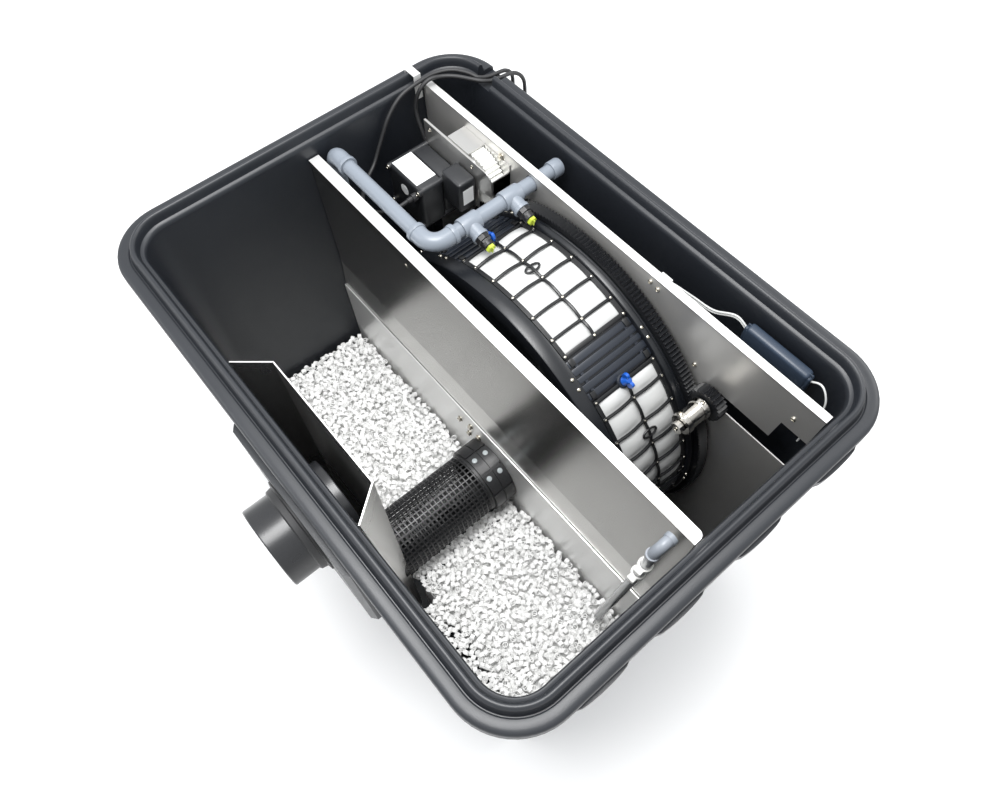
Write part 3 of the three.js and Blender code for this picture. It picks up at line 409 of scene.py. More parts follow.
def add_plate(bm, corners, thick):
    """A flat plate: its corners in order, and the step to its other face."""
    step = Vector(thick)
    near = [bm.verts.new(c) for c in corners]
    far = [bm.verts.new(Vector(c) + step) for c in corners]
    bm.faces.new(near)
    bm.faces.new(list(reversed(far)))
    for i in range(len(near)):
        j = (i + 1) % len(near)
        bm.faces.new([near[j], near[i], far[i], far[j]])


def add_run(bm, points, radius, sides=12, closed=False):
    """A round bar along points. radius may be one number or one for each point."""
    points = [Vector(p) for p in points]
    count = len(points)
    radii = radius if hasattr(radius, "__len__") else [radius] * count
    rings, side = [], None
    for i, p in enumerate(points):
        before = points[i - 1] if closed or i else points[0]
        after = points[(i + 1) % count] if closed or i + 1 < count else points[-1]
        ahead = (after - before).normalized()
        if side is None:
            side = ahead.orthogonal().normalized()
        side = (side - ahead * side.dot(ahead)).normalized()
        other = ahead.cross(side)
        rings.append([bm.verts.new(p + radii[i] * (
            math.cos(2 * math.pi * k / sides) * side + math.sin(2 * math.pi * k / sides) * other
        )) for k in range(sides)])
    pairs = list(zip(rings, rings[1:])) + ([(rings[-1], rings[0])] if closed else [])
    for a, b in pairs:
        for k in range(sides):
            m = (k + 1) % sides
            bm.faces.new([a[k], a[m], b[m], b[k]])
    if not closed:
        bm.faces.new(list(reversed(rings[0])))
        bm.faces.new(rings[-1])


tank_half = (0.600, 0.441)


def tank_loop(inset, z, steps=14):
    radius = max(0.110 - inset, 0.012)
    loop = []
    for corner, (sx, sy) in enumerate(((1, 1), (-1, 1), (-1, -1), (1, -1))):
        for i in range(steps + 1):
            angle = (corner + i / steps) * math.pi / 2
            loop.append((
                sx * (tank_half[0] - inset - radius) + radius * math.cos(angle),
                sy * (tank_half[1] - inset - radius) + radius * math.sin(angle), z,
            ))
    return loop


def wall_inset(z):
    return 0.036 + 0.036 * (1 - z / 0.9)


tank_profile = [
    (wall_inset(0) + 0.014, 0.0), (wall_inset(0) + 0.006, 0.0015), (wall_inset(0) + 0.001, 0.006),
    (wall_inset(0.014), 0.014), (wall_inset(0.30), 0.30), (wall_inset(0.60), 0.60),
    (wall_inset(0.852), 0.852),
    (wall_inset(0.86) - 0.001, 0.858), (0.030, 0.862), (-0.004, 0.863), (-0.0080, 0.864), (-0.0098, 0.867),
    (-0.0100, 0.877), (-0.0088, 0.8785), (-0.0088, 0.8805), (-0.0100, 0.882), (-0.0096, 0.893),
    (-0.0080, 0.8975), (-0.0045, 0.8996), (0.0010, 0.900), (0.0125, 0.900), (0.0140, 0.8993),
    (0.0150, 0.8978),
    (0.0165, 0.8978), (0.0175, 0.8995), (0.0190, 0.9035), (0.0205, 0.9110), (0.0222, 0.9160),
    (0.0250, 0.9186), (0.0280, 0.9190), (0.0305, 0.9178), (0.0325, 0.9145), (0.0340, 0.9060),
    (0.0355, 0.8990), (0.0385, 0.8968), (0.0415, 0.8962), (0.0436, 0.8935), (0.0445, 0.887),
    (wall_inset(0.87) + 0.008, 0.87), (wall_inset(0.60) + 0.008, 0.60), (wall_inset(0.30) + 0.008, 0.30),
    (wall_inset(0.030) + 0.008, 0.030), (wall_inset(0.018) + 0.010, 0.018),
    (wall_inset(0.012) + 0.0145, 0.0115),
    (wall_inset(0.008) + 0.022, 0.008),
]
tank_plastic = finish_of("tank_plastic", (0.0105, 0.0125, 0.0165), 0.40, tone=0.30, spread=0.16, patch=5.0,
                         grain=900.0, depth=0.00012, dust=0.03)
bm = bmesh.new()
loops = [[bm.verts.new(p) for p in tank_loop(inset, z)] for inset, z in tank_profile]
for a, b in zip(loops, loops[1:]):
    for i in range(len(a)):
        j = (i + 1) % len(a)
        bm.faces.new([a[i], a[j], b[j], b[i]])
bm.faces.new(list(reversed(loops[0])))
bm.faces.new(loops[-1])
tank = closed_piece("tank", bm, tank_plastic, 40)


def carve(piece, shapes):
    """Cuts shapes out of a piece. Each shape fills a mesh in the making."""
    for fill in shapes:
        cutter_mesh = bmesh.new()
        fill(cutter_mesh)
        cutter = closed_piece("cutter", cutter_mesh, piece.data.materials[0])
        cut = piece.modifiers.new("cut", "BOOLEAN")
        cut.operation = "DIFFERENCE"
        cut.solver = "EXACT"
        cut.object = cutter
        made_plain(piece)
        bpy.data.objects.remove(cutter)


def made_plain(piece):
    """Turns what a piece's modifiers make into its own mesh."""
    deps = bpy.context.evaluated_depsgraph_get()
    deps.update()
    mesh = bpy.data.meshes.new_from_object(piece.evaluated_get(deps))
    piece.modifiers.clear()
    piece.data = mesh


outlet_at, inlets_at, waste_at = (0.064, 0.740), ((-0.330, 0.300), (-0.130, 0.300)), (-0.009, 0.560)


def bore(x, z, radius, y0, y1):
    profile = [(0, 0), (radius, 0), (radius, y1 - y0), (0, y1 - y0)]
    return lambda bm: add_turned(bm, profile, (x, y0, z), (0, 1, 0), 48)


carve(tank, [
    bore(*outlet_at, 0.0803, -0.48, -0.36),
    *[bore(*at, 0.0553, 0.34, 0.45) for at in inlets_at],
    bore(*waste_at, 0.0373, 0.34, 0.45),
    lambda bm: add_block(bm, (-0.488, 0.393, 0.888), (-0.440, 0.470, 0.950)),
])
tank.data.shade_smooth()
tank.data.set_sharp_from_angle(angle=math.radians(40))
fixed_to("tank", "tank", tank, "tank_shell")

bm = bmesh.new()
pad_low, pad_high = 0.565, 0.862
pad_face = [(-0.099, -0.461), (0.227, -0.461), (0.239, -0.452), (0.239, -0.372), (-0.111, -0.372),
            (-0.111, -0.452)]
add_plate(bm, [(x, y, pad_low) for x, y in pad_face], (0, 0, pad_high - pad_low))
for x in (-0.111, 0.239):
    side = 1 if x > 0.06 else -1
    add_plate(bm, [
        (x, -0.4445, 0.640), (x + side * 0.030, -0.4250, 0.640), (x + side * 0.030, -0.4000, 0.640),
        (x, -0.4000, 0.640),
    ], (0, 0, 0.200))
outlet_pad = closed_piece("outlet_pad", bm, tank_plastic, 30)
carve(outlet_pad, [
    bore(*outlet_at, 0.0803, -0.48, -0.36),
    lambda bm: add_plate(bm, [
        (-0.4, -0.441 + wall_inset(0.55) + 0.003, 0.55), (-0.4, -0.441 + wall_inset(0.87) + 0.003, 0.87),
        (-0.4, -0.30, 0.87), (-0.4, -0.30, 0.55),
    ], (0.9, 0, 0)),
])
fixed_to("tank", "tank", outlet_pad)

bm = bmesh.new()
grips = [(1, -0.265), (1, -0.105), (1, 0.075), (1, 0.265), (-1, -0.250), (-1, 0.020), (-1, 0.225)]
for side, y in grips:
    steps = 12
    outer = []
    for i in range(steps + 1):
        part = i / steps * 2 - 1
        outer.append((side * (0.6098 + 0.0065 * (1 - part * part) ** 0.5), y + 0.052 * part))
    outline = outer + [(side * 0.606, y + 0.052), (side * 0.606, y - 0.052)]
    add_plate(bm, [(x, yy, 0.8615) for x, yy in outline], (0, 0, 0.0150))
rim_grips = closed_piece("rim_grips", bm, tank_plastic, 30)
fixed_to("tank", "tank", rim_grips)

# ---- Outlet stub, inlets and waste pipe --------------------------------------------------
# A black 160 mm pipe stub stands out of the pad through a rubber lip seal. Two grey 110 mm
# inlets and the 75 mm waste pipe pass through the opposite wall in seals of their own.
black_pipe = finish_of("black_pipe", (0.0085, 0.0090, 0.0105), 0.30, tone=0.3, grain=700.0, depth=0.00004,
                       dust=0.06)
grey_drain = finish_of("grey_drain", (0.20, 0.22, 0.25), 0.35, tone=0.12, grain=700.0, depth=0.00004)
bm = bmesh.new()
add_turned(bm, [
    (0.0750, 0.0025), (0.0765, 0.0), (0.0785, 0.0), (0.0800, 0.0020), (0.0800, 0.150), (0.0785, 0.152),
    (0.0750, 0.152),
], (outlet_at[0], -0.529, outlet_at[1]), (0, 1, 0), 96)
fixed_to("tank", "black_pipe", closed_piece("outlet_stub", bm, black_pipe), "outlet_pipe")
outer, wall, length = 0.055, 0.004, 0.166
for number, (x, z) in enumerate(inlets_at, 1):
    bm = bmesh.new()
    add_turned(bm, [
        (outer - wall, 0.0), (outer, 0.0), (outer, length - 0.004), (outer - 0.0015, length),
        (outer - wall, length),
    ], (x, 0.349, z), (0, 1, 0), 64)
    fixed_to("tank", "drain_pipe", closed_piece(f"inlet_pipe_{number}_turned", bm, grey_drain),
             f"inlet_pipe_{number}")
bm = bmesh.new()
for x, z, radius, y, out in (
    (*outlet_at, 0.0802, -0.4612, -1), *[(*at, 0.0552, 0.3810, 1) for at in inlets_at],
    (*waste_at, 0.0372, 0.3913, 1),
):
    add_turned(bm, [
        (radius, 0.0), (radius + 0.016, 0.0), (radius + 0.016, 0.003), (radius + 0.006, 0.0055),
        (radius + 0.004, 0.016), (radius + 0.001, 0.0185), (radius, 0.0185),
    ], (x, y, z), (0, out, 0), 72)
fixed_to("tank", "rubber", closed_piece("pipe_seals", bm, black_rubber))

# ---- Folded sheets -----------------------------------------------------------------------
# Stainless sheets, 2.5 mm, cut by laser and folded: the front sheet with a wide top flange and
# a kicked-out lower edge, the mirror-bright sheet bolted below it, the rear sheet with its
# bypass slot, and the riser box before the outlet. All slide into the tank's leaning walls.
sheet_steel = finish_of("sheet_steel", (0.62, 0.615, 0.60), 0.28, metal=0.92, tone=0.10, spread=0.10,
                        patch=3.0,
                        grain=260.0, depth=0.00001, stretch=(0.06, 1, 1))
bright_steel = finish_of("bright_steel", (0.86, 0.86, 0.85), 0.34, metal=0.55, tone=0.06, spread=0.08,
                         patch=4.0,
                         grain=300.0, depth=0.00001, stretch=(0.06, 1, 1))
rear_steel = finish_of("rear_steel", (0.74, 0.73, 0.71), 0.36, metal=0.85, tone=0.16, spread=0.10, patch=3.0,
                       grain=260.0, depth=0.00001, stretch=(1, 1, 0.06))
# The front sheet's upright face gets a darker copy of the same stainless: painted shade, darker than the
# kicked-out lower edge of the same sheet.
shaded_front_steel = finish_of("shaded_front_steel", (0.36, 0.355, 0.345), 0.26, metal=1.0, tone=0.14, spread=0.10,
                        patch=3.0,
                         grain=260.0, depth=0.00001, stretch=(0.06, 1, 1))
# Top flanges and the riser box's top edge get a lighter, less metallic copy of the stainless: a painted
# highlight.
highlight_steel = finish_of("highlight_steel", (0.86, 0.86, 0.85), 0.35, metal=0.6, tone=0.04, spread=0.06,
                       depth=0.00001)


def half_span(z):
    """Half the length of a sheet that reaches both leaning walls at a height."""
    return 0.600 - wall_inset(z) - 0.008 - 0.003


def flange(bm, y0, y1, z, reach, round_end=0.012):
    """A flat top flange whose far corner is rounded at the +X end."""
    corner = [(reach - round_end + round_end * math.sin(a), y1 - round_end + round_end * math.cos(a))
              for a in [math.radians(d) for d in range(0, 91, 15)]]
    outline = [(-reach, y0), (-reach, y1)] + corner + [(reach, y0)]
    add_plate(bm, [(x, y, z - 0.0025) for x, y in outline], (0, 0, 0.0025))


# The upright face is drawn in the darker steel: painted shade.
bm = bmesh.new()
top, bend, low = 0.862, 0.540, 0.445
add_plate(bm, [
    (-half_span(top), -0.007, top - 0.0012), (half_span(top), -0.007, top - 0.0012),
    (half_span(bend), -0.007, bend), (-half_span(bend), -0.007, bend),
], (0, 0.0025, 0))
fixed_to("tank", "stainless", closed_piece("front_sheet_face", bm, shaded_front_steel), "front_sheet")
bm = bmesh.new()
add_plate(bm, [
    (-half_span(bend), -0.007, bend), (half_span(bend), -0.007, bend),
    (half_span(low), -0.015, low), (-half_span(low), -0.015, low),
], (0, 0.0025, 0.0002))
fixed_to("tank", "stainless", closed_piece("front_sheet_kick", bm, sheet_steel))
# The front flange and its lip are drawn in the lighter steel: painted highlight.
bm = bmesh.new()
flange(bm, -0.007, 0.018, top, half_span(top))
add_plate(bm, [
    (-half_span(top), 0.0155, top - 0.002), (half_span(top) - 0.012, 0.0155, top - 0.002),
    (half_span(top) - 0.012, 0.0155, top - 0.012), (-half_span(top), 0.0155, top - 0.012),
], (0, 0.0025, 0))
fixed_to("tank", "stainless", closed_piece("front_flange", bm, highlight_steel))
# The rear flange and its lip are drawn in the lighter steel: painted highlight.
bm = bmesh.new()
reach = half_span(0.893)
flange(bm, 0.302, 0.320, 0.8935, reach, 0.008)
add_plate(bm, [
    (-reach, 0.3176, 0.8915), (reach - 0.010, 0.3176, 0.8915), (reach - 0.010, 0.3176, 0.881),
    (-reach, 0.3176, 0.881),
], (0, 0.0025, 0))
rear_flange = closed_piece("rear_flange", bm, highlight_steel)
fixed_to("tank", "stainless", rear_flange)
refinish(rear_steel, "rear_sheet")
refinish(sheet_steel, "rear_collar", "waste_gutter", "axle_bracket", "motor_bracket", "motor_plate")
refinish(bright_steel, "front_lower_sheet", "cable_clip")

bm = bmesh.new()
foot, crest = 0.0120, 0.835
wall_low, wall_high = -0.441 + wall_inset(foot) + 0.0245, -0.441 + wall_inset(crest) + 0.0120
plan = [(-0.290, -0.441), (-0.193, -0.328), (0.122, -0.328), (0.209, -0.441)]
def on_flank(outer, inner, y):
    part = (y - outer[1]) / (inner[1] - outer[1])
    return (outer[0] + (inner[0] - outer[0]) * part, y)
left_top, left_foot = on_flank(plan[0], plan[1], wall_high), on_flank(plan[0], plan[1], wall_low)
right_top, right_foot = on_flank(plan[3], plan[2], wall_high), on_flank(plan[3], plan[2], wall_low)
add_plate(bm, [(*plan[1], foot), (*plan[2], foot), (*plan[2], crest), (*plan[1], crest)], (0, -0.0025, 0))
riser_face = closed_piece("riser_box_face", bm, sheet_steel, 20)
carve(riser_face, [bore(0.057, 0.325, 0.079, -0.37, -0.31)])
fixed_to("tank", "stainless", riser_face, "baffle_box")
bm = bmesh.new()
add_plate(bm, [(*left_foot, foot), (*plan[1], foot), (*plan[1], crest), (*left_top, crest)],
          (0.0012, -0.0020, 0))
add_plate(bm, [(*plan[2], foot), (*right_foot, foot), (*right_top, crest), (*plan[2], crest)],
          (-0.0012, -0.0020, 0))
fixed_to("tank", "stainless", closed_piece("riser_box_flanks", bm, sheet_steel, 20))
# A thin strip in the lighter steel caps the riser box's top edge: a painted highlight line.
bm = bmesh.new()
rim_path = [(*left_top, crest), (*plan[1], crest), (*plan[2], crest), (*right_top, crest)]
for a, b in zip(rim_path, rim_path[1:]):
    across = (Vector(b) - Vector(a)).cross(Vector((0, 0, 1))).normalized() * 0.0026
    add_plate(bm, [Vector(a) + Vector((0, 0, -0.001)), Vector(b) + Vector((0, 0, -0.001)),
                   Vector(b) + Vector((0, 0, 0.0008)), Vector(a) + Vector((0, 0, 0.0008))], across)
fixed_to("tank", "stainless", closed_piece("riser_box_edge", bm, highlight_steel))

# ---- Bolts and screws --------------------------------------------------------------------
# Stainless hexagon bolts with washers and small dome-headed screws hold the sheets, brackets
# and fittings. Each size is one pattern, set out on its places.


def pattern_tree(name, inputs):
    """A geometry tree with named inputs, and its nodes, links, start and end."""
    tree = bpy.data.node_groups.new(name, "GeometryNodeTree")
    tree.interface.new_socket(name="Geometry", in_out="INPUT", socket_type="NodeSocketGeometry")
    for label, kind in inputs:
        tree.interface.new_socket(name=label, in_out="INPUT", socket_type=kind)
    tree.interface.new_socket(name="Geometry", in_out="OUTPUT", socket_type="NodeSocketGeometry")
    return tree, tree.nodes.new("NodeGroupInput"), tree.nodes.new("NodeGroupOutput")


def lay_copies(tree, given, result, spots, euler, size=None):
    """Ends a tree: the pattern on every spot, made real and given its finish."""
    nodes, links = tree.nodes, tree.links
    drawn = nodes.new("GeometryNodeObjectInfo")
    facing = nodes.new("FunctionNodeEulerToRotation")
    copies = nodes.new("GeometryNodeInstanceOnPoints")
    real = nodes.new("GeometryNodeRealizeInstances")
    coated = nodes.new("GeometryNodeSetMaterial")
    links.new(given.outputs["Pattern"], drawn.inputs["Object"])
    links.new(euler, facing.inputs["Euler"])
    links.new(spots, copies.inputs["Points"])
    links.new(drawn.outputs["Geometry"], copies.inputs["Instance"])
    links.new(facing.outputs["Rotation"], copies.inputs["Rotation"])
    if size is not None:
        links.new(size, copies.inputs["Scale"])
    links.new(copies.outputs["Instances"], real.inputs["Geometry"])
    links.new(real.outputs["Geometry"], coated.inputs["Geometry"])
    links.new(given.outputs["Finish"], coated.inputs["Material"])
    links.new(coated.outputs["Geometry"], result.inputs["Geometry"])


def with_pattern(name, ground, tree, **values):
    """A plain piece from a ground mesh and a tree, its inputs set by their identifiers."""
    piece = bpy.data.objects.new(name, ground)
    bpy.context.scene.collection.objects.link(piece)
    layer = piece.modifiers.new("pattern", "NODES")
    layer.node_group = tree
    keys = {item.name: item.identifier for item in tree.interface.items_tree if item.in_out == "INPUT"}
    for label, value in values.items():
        layer[keys[label]] = value
    made_plain(piece)
    return piece


def set_out(name, places, pattern, material, size=1.0):
    """Copies a small pattern, drawn along +Z, to places given as (point, direction)."""
    spots = bpy.data.meshes.new(name)
    spots.from_pydata([tuple(p) for p, _ in places], [], [])
    turns = spots.attributes.new("turn", "FLOAT_VECTOR", "POINT")
    for slot_of, (_, direction) in zip(turns.data, places):
        slot_of.vector = along(direction).to_euler()
    tree, given, result = pattern_tree(f"{name} pattern", (
        ("Pattern", "NodeSocketObject"), ("Finish", "NodeSocketMaterial"), ("Size", "NodeSocketFloat")))
    spot = tree.nodes.new("GeometryNodeMeshToPoints")
    turn = tree.nodes.new("GeometryNodeInputNamedAttribute")
    turn.data_type = "FLOAT_VECTOR"
    turn.inputs["Name"].default_value = "turn"
    tree.links.new(given.outputs["Geometry"], spot.inputs["Mesh"])
    lay_copies(tree, given, result, spot.outputs["Points"], turn.outputs["Attribute"], given.outputs["Size"])
    return with_pattern(name, spots, tree, Pattern=pattern, Finish=material, Size=size)


fastener_steel = finish_of("fastener_steel", (0.56, 0.53, 0.46), 0.24, metal=1.0, tone=0.2, depth=0.00001)
bm = bmesh.new()
add_turned(bm, [(0, 0.0), (0.0085, 0.0), (0.0085, 0.0012), (0, 0.0012)], (0, 0, 0), (0, 0, 1), 20)
add_turned(bm, [(0, 0.0012), (0.0062, 0.0012), (0.0066, 0.002), (0.0066, 0.0062), (0.0058, 0.0068),
                (0, 0.0068)],
           (0, 0, 0), (0, 0, 1), 6)
hex_bolt = closed_piece("hex_bolt", bm, fastener_steel, 25)
bm = bmesh.new()
add_turned(bm, [(0, 0.0), (0.0052, 0.0), (0.0050, 0.0018), (0.0036, 0.0032), (0.0022, 0.0036),
                (0.0018, 0.0024), (0, 0.0024)],
           (0, 0, 0), (0, 0, 1), 14)
dome_screw = closed_piece("dome_screw", bm, fastener_steel, 35)
front, back = (0, -1, 0), (0, 1, 0)
sheet_bolts = [((x, -0.0178, z), front) for x,
               z in ((-0.066, 0.399), (-0.026, 0.415), (-0.033, 0.372), (0.003, 0.401))]
sheet_bolts += [((-0.285, 0.3018, 0.872), front), ((-0.240, 0.3018, 0.800), front)]
fixed_to("tank", "stainless", set_out("sheet_bolts", sheet_bolts, hex_bolt, fastener_steel))
sheet_screws = [((x, 0.3018, z), front) for x, z in (
    (0.149, 0.877), (0.169, 0.872), (0.295, 0.759), (0.506, 0.839), (0.561, 0.886), (-0.420, 0.845))]
sheet_screws += [((0.178, -0.3985, 0.700), (0.79, 0.61, 0)), ((-0.200, -0.0165, 0.851), (0, 1, 0))]
fixed_to("tank", "stainless", set_out("sheet_screws", sheet_screws, dome_screw, fastener_steel))

bm = bmesh.new()
rounded = [(-0.256 - 0.022 * (1 - math.sin(math.radians(d))), 0.866 - 0.022 * (1 - math.cos(math.radians(d))))
           for d in range(90, -1, -15)]
add_plate(bm, [(x, 0.2495, z) for x, z in [(-0.486, 0.800), (-0.300, 0.800),
                                           (-0.256, 0.808)] + rounded + [(-0.486, 0.866)]],
          (0, 0.0025, 0))
add_plate(bm, [(-0.2585, 0.2520, 0.812), (-0.2560, 0.2520, 0.812), (-0.2560, 0.2520, 0.852),
               (-0.2585, 0.2520, 0.852)],
          (0, 0.0495, 0))
fixed_to("tank", "stainless", closed_piece("gear_cover", bm, sheet_steel, 25))

# ---- Moving bed --------------------------------------------------------------------------
# Loose wheel-shaped carriers of white polyethylene, about 11 mm across, lie in two heaps on
# both sides of the strainer. Each heap is a packed core with its outer layers laid on it.
carrier_white = finish_of("carrier_white", (0.96, 0.96, 0.95), 0.45, tone=0.08, spread=0.1, patch=60.0,
                          grain=900.0,
                          depth=0.00005)
bm = bmesh.new()
add_turned(bm, [(0.0049, -0.0048), (0.0065, -0.0048), (0.0065, 0.0048), (0.0049, 0.0048)], (0, 0, 0),
           (0, 0, 1), 9)
add_plate(bm, [(-0.0050, -0.0006, -0.0042), (0.0050, -0.0006, -0.0042), (0.0050, 0.0006, -0.0042),
               (-0.0050, 0.0006, -0.0042)],
          (0, 0, 0.0084))
carrier = closed_piece("carrier", bm, carrier_white, 30)


def strew(name, ground, seed):
    """Lays carriers over a ground mesh, turned at random."""
    tree, given, result = pattern_tree(f"{name} heap", (
        ("Pattern", "NodeSocketObject"), ("Finish", "NodeSocketMaterial"), ("Spacing", "NodeSocketFloat"),
        ("Seed", "NodeSocketInt")))
    scatter = tree.nodes.new("GeometryNodeDistributePointsOnFaces")
    scatter.distribute_method = "POISSON"
    scatter.inputs["Density Max"].default_value = 40000
    lean = tree.nodes.new("FunctionNodeRandomValue")
    lean.data_type = "FLOAT_VECTOR"
    lean.inputs[0].default_value = (-3.1, -3.1, -3.1)
    lean.inputs[1].default_value = (3.1, 3.1, 3.1)
    tree.links.new(given.outputs["Geometry"], scatter.inputs["Mesh"])
    tree.links.new(given.outputs["Spacing"], scatter.inputs["Distance Min"])
    tree.links.new(given.outputs["Seed"], scatter.inputs["Seed"])
    tree.links.new(given.outputs["Seed"], lean.inputs["Seed"])
    lay_copies(tree, given, result, scatter.outputs["Points"], lean.outputs[0])
    return with_pattern(name, ground, tree, Pattern=carrier, Finish=carrier_white, Spacing=0.0098, Seed=seed)


def bed_grid(x0, x1, dip_at, seed):
    """The heap's top: a grid from the outlet wall to the sheet that falls off by the strainer."""
    across, deep = 46, 30
    y0, y1 = -0.362, -0.026
    rows = []
    for i in range(across + 1):
        x = x0 + (x1 - x0) * i / across
        near = max(0.0, 1 - abs(x - dip_at) / 0.075)
        row = []
        for j in range(deep + 1):
            y = y0 + (y1 - y0) * j / deep
            swell = noise.noise(Vector((x * 9, y * 9, seed))) * 0.009 + noise.noise(Vector((x * 30, y * 30,
                    seed))) * 0.004
            z = 0.259 + swell - 0.030 * near * near
            edge = 0.0 if near < 0.999 else 0.010 * noise.noise(Vector((0.0, y * 40, seed)))
            row.append((x + edge, y, z))
        rows.append(row)
    return rows


def beside_riser(p):
    """Whether a point of the bed lies outside the riser box."""
    return p[1] > -0.318 or p[0] < -0.275 or p[0] > 0.198


for side, x0, x1, dip_at, seed in (("left", -0.518, -0.004, -0.004, 3), ("right", 0.116, 0.519, 0.116, 11)):
    rows = bed_grid(x0, x1, dip_at, seed)
    top_verts = [p for row in rows for p in row]
    wide = len(rows[0])
    faces = [(a * wide + b, (a + 1) * wide + b, (a + 1) * wide + b + 1, a * wide + b + 1)
             for a in range(len(rows) - 1) for b in range(wide - 1)]
    faces = [f for f in faces if all(beside_riser(top_verts[k]) for k in f)]
    skirt = []
    edge = rows[-1] if side == "left" else rows[0]
    base = len(top_verts)
    for p in edge:
        top_verts.append((p[0] + (0.004 if side == "left" else -0.004), p[1], p[2] - 0.060))
    edge_at = (len(rows) - 1) * wide if side == "left" else 0
    for b in range(wide - 1):
        corners = (edge_at + b, edge_at + b + 1, base + b + 1, base + b)
        if beside_riser(top_verts[edge_at + b]):
            skirt.append(corners if side == "left" else tuple(reversed(corners)))
    ground = bpy.data.meshes.new(f"bed_{side}_ground")
    ground.from_pydata(top_verts, [], faces + skirt)
    loose = strew(f"carriers_{side}", ground, seed)
    fixed_to("tank", "carriers", loose, f"carrier_bed_{side}")
    bm = bmesh.new()
    inner_y = -0.318
    x_lo, x_hi = (x0 + 0.006, x1 - 0.030) if side == "left" else (x0 + 0.030, x1 - 0.006)
    add_block(bm, (x_lo, inner_y, 0.014), (x_hi, -0.026, 0.232), 0.004)
    fixed_to("tank", "carriers", closed_piece(f"bed_core_{side}", bm, carrier_white))

# ---- Strainer ----------------------------------------------------------------------------
# A black moulded cage with square holes carries water from the bed to the riser box. A solid
# collar of curved plates, held by pale plugs, closes its inner end.
cage_black = finish_of("cage_black", (0.0085, 0.0085, 0.0090), 0.38, tone=0.2, grain=500.0, depth=0.00005,
                       dust=0.10)
bm = bmesh.new()
around, lengthwise = 40, 22
centre = Vector((0.057, 0, 0.325))
for i in range(around):
    angle = 2 * math.pi * i / around
    lie = Matrix.Translation(centre) @ Matrix.Rotation(-angle, 4, "Y")
    add_block(bm, (0.0745, -0.342, -0.0013), (0.0775, -0.076, 0.0013), turn=lie)
for j in range(lengthwise + 1):
    y = -0.342 + 0.266 * j / lengthwise
    wide = 0.0045 if j in (0, lengthwise) else 0.0013
    y = min(max(y, -0.342 + wide), -0.076 - wide)
    add_turned(bm, [(0.0742, -wide), (0.0779, -wide), (0.0779, wide), (0.0742, wide)],
               centre + Vector((0, y, 0)),
               (0, 1, 0), 80)
cage = closed_piece("strainer_cage", bm, cage_black, 30)
fixed_to("tank", "strainer", cage, "strainer_tube")
bm = bmesh.new()
add_turned(bm, [(0.0740, 0.0), (0.0810, 0.0), (0.0810, 0.055), (0.0790, 0.058), (0.0740, 0.058)],
           (0.057, -0.078, 0.325), (0, 1, 0), 64)
add_turned(bm, [(0, 0.0), (0.075, 0.0), (0.075, 0.004), (0, 0.004)], (0.057, -0.0230, 0.325), (0, 1, 0), 64)
for k in range(9):
    middle = 90 + 40 * k
    for y0, y1, rise in ((-0.0775, -0.0500, 0.0846), (-0.0480, -0.0190, 0.0846)):
        arc = [math.radians(middle - 18 + 6 * i) for i in range(7)]
        add_plate(bm, [(0.057 + rise * math.cos(a), y0, 0.325 + rise * math.sin(a)) for a in arc]
                  + [(0.057 + 0.079 * math.cos(a), y0, 0.325 + 0.079 * math.sin(a)) for a in reversed(arc)],
                  (0, y1 - y0, 0))
fixed_to("tank", "strainer", closed_piece("strainer_collar", bm, cage_black, 25), "strainer_cap")
plug_grey = finish_of("plug_grey", (0.42, 0.46, 0.47), 0.4, tone=0.1)
bm = bmesh.new()
for angle, y in ((97, -0.066), (97, -0.034), (60, -0.066), (60, -0.034)):
    out = Vector((math.cos(math.radians(angle)), 0, math.sin(math.radians(angle))))
    add_turned(bm, [(0, 0.0), (0.0065, 0.0), (0.0062, 0.0022), (0.0045, 0.003), (0, 0.003)],
               centre + Vector((0, y, 0)) + out * 0.0842, out, 20)
fixed_to("tank", "strainer", closed_piece("collar_plugs", bm, plug_grey))

# ---- Drum --------------------------------------------------------------------------------
# A black moulded drum turns on a steel axle. Two rings are joined by six ribbed bars, and each
# gap between the bars holds a screen panel: white cloth clamped under a black lattice.
drum_centre = Vector((-0.009, 0, 0.447))
drum_black = finish_of("drum_black", (0.0070, 0.0082, 0.0105), 0.34, tone=0.3, spread=0.14, patch=7.0,
                       grain=800.0,
                       depth=0.00005)
strip_grey = finish_of("strip_grey", (0.016, 0.020, 0.028), 0.32, tone=0.2, grain=800.0, depth=0.00004)
lattice_black = finish_of("lattice_black", (0.0075, 0.0080, 0.0090), 0.34, tone=0.2, grain=800.0,
                          depth=0.00004)


def on_drum(degrees, y, radius):
    """A point of the drum, by its angle from the top towards +X."""
    angle = math.radians(degrees)
    return drum_centre + Vector((radius * math.sin(angle), y, radius * math.cos(angle)))


def drum_turn(degrees):
    """Moves something drawn above the drum's top round to an angle."""
    return Matrix.Translation(drum_centre) @ Matrix.Rotation(math.radians(degrees), 4, "Y")


bm = bmesh.new()
add_turned(bm, [
    (0.3625, 0.0), (0.3960, 0.0), (0.3985, 0.0012), (0.4000, 0.0040), (0.4000, 0.0290), (0.3985, 0.0325),
    (0.3960, 0.0340), (0.3625, 0.0340),
], drum_centre + Vector((0, 0.056, 0)), (0, 1, 0), 180)
add_turned(bm, [
    (0.3625, 0.0), (0.3990, 0.0), (0.4020, 0.0015), (0.4038, 0.0050), (0.4038, 0.0110), (0.4020, 0.0125),
    (0.4020, 0.0135), (0.4036, 0.0150), (0.4036, 0.0172), (0.4020, 0.0187), (0.3625, 0.0187),
], drum_centre + Vector((0, 0.254, 0)), (0, 1, 0), 180)
for k in range(6):
    middle = 30 + 60 * k
    outer = [on_drum(middle - 7 + 2 * i, 0.0885, 0.3900) for i in range(8)]
    inner = [on_drum(middle + 7 - 2 * i, 0.0885, 0.3650) for i in range(8)]
    add_plate(bm, outer + inner, (0, 0.167, 0))
fixed_to("drum", "drum_body", closed_piece("drum_rings", bm, drum_black, 30), "drum_frame")
bm = bmesh.new()
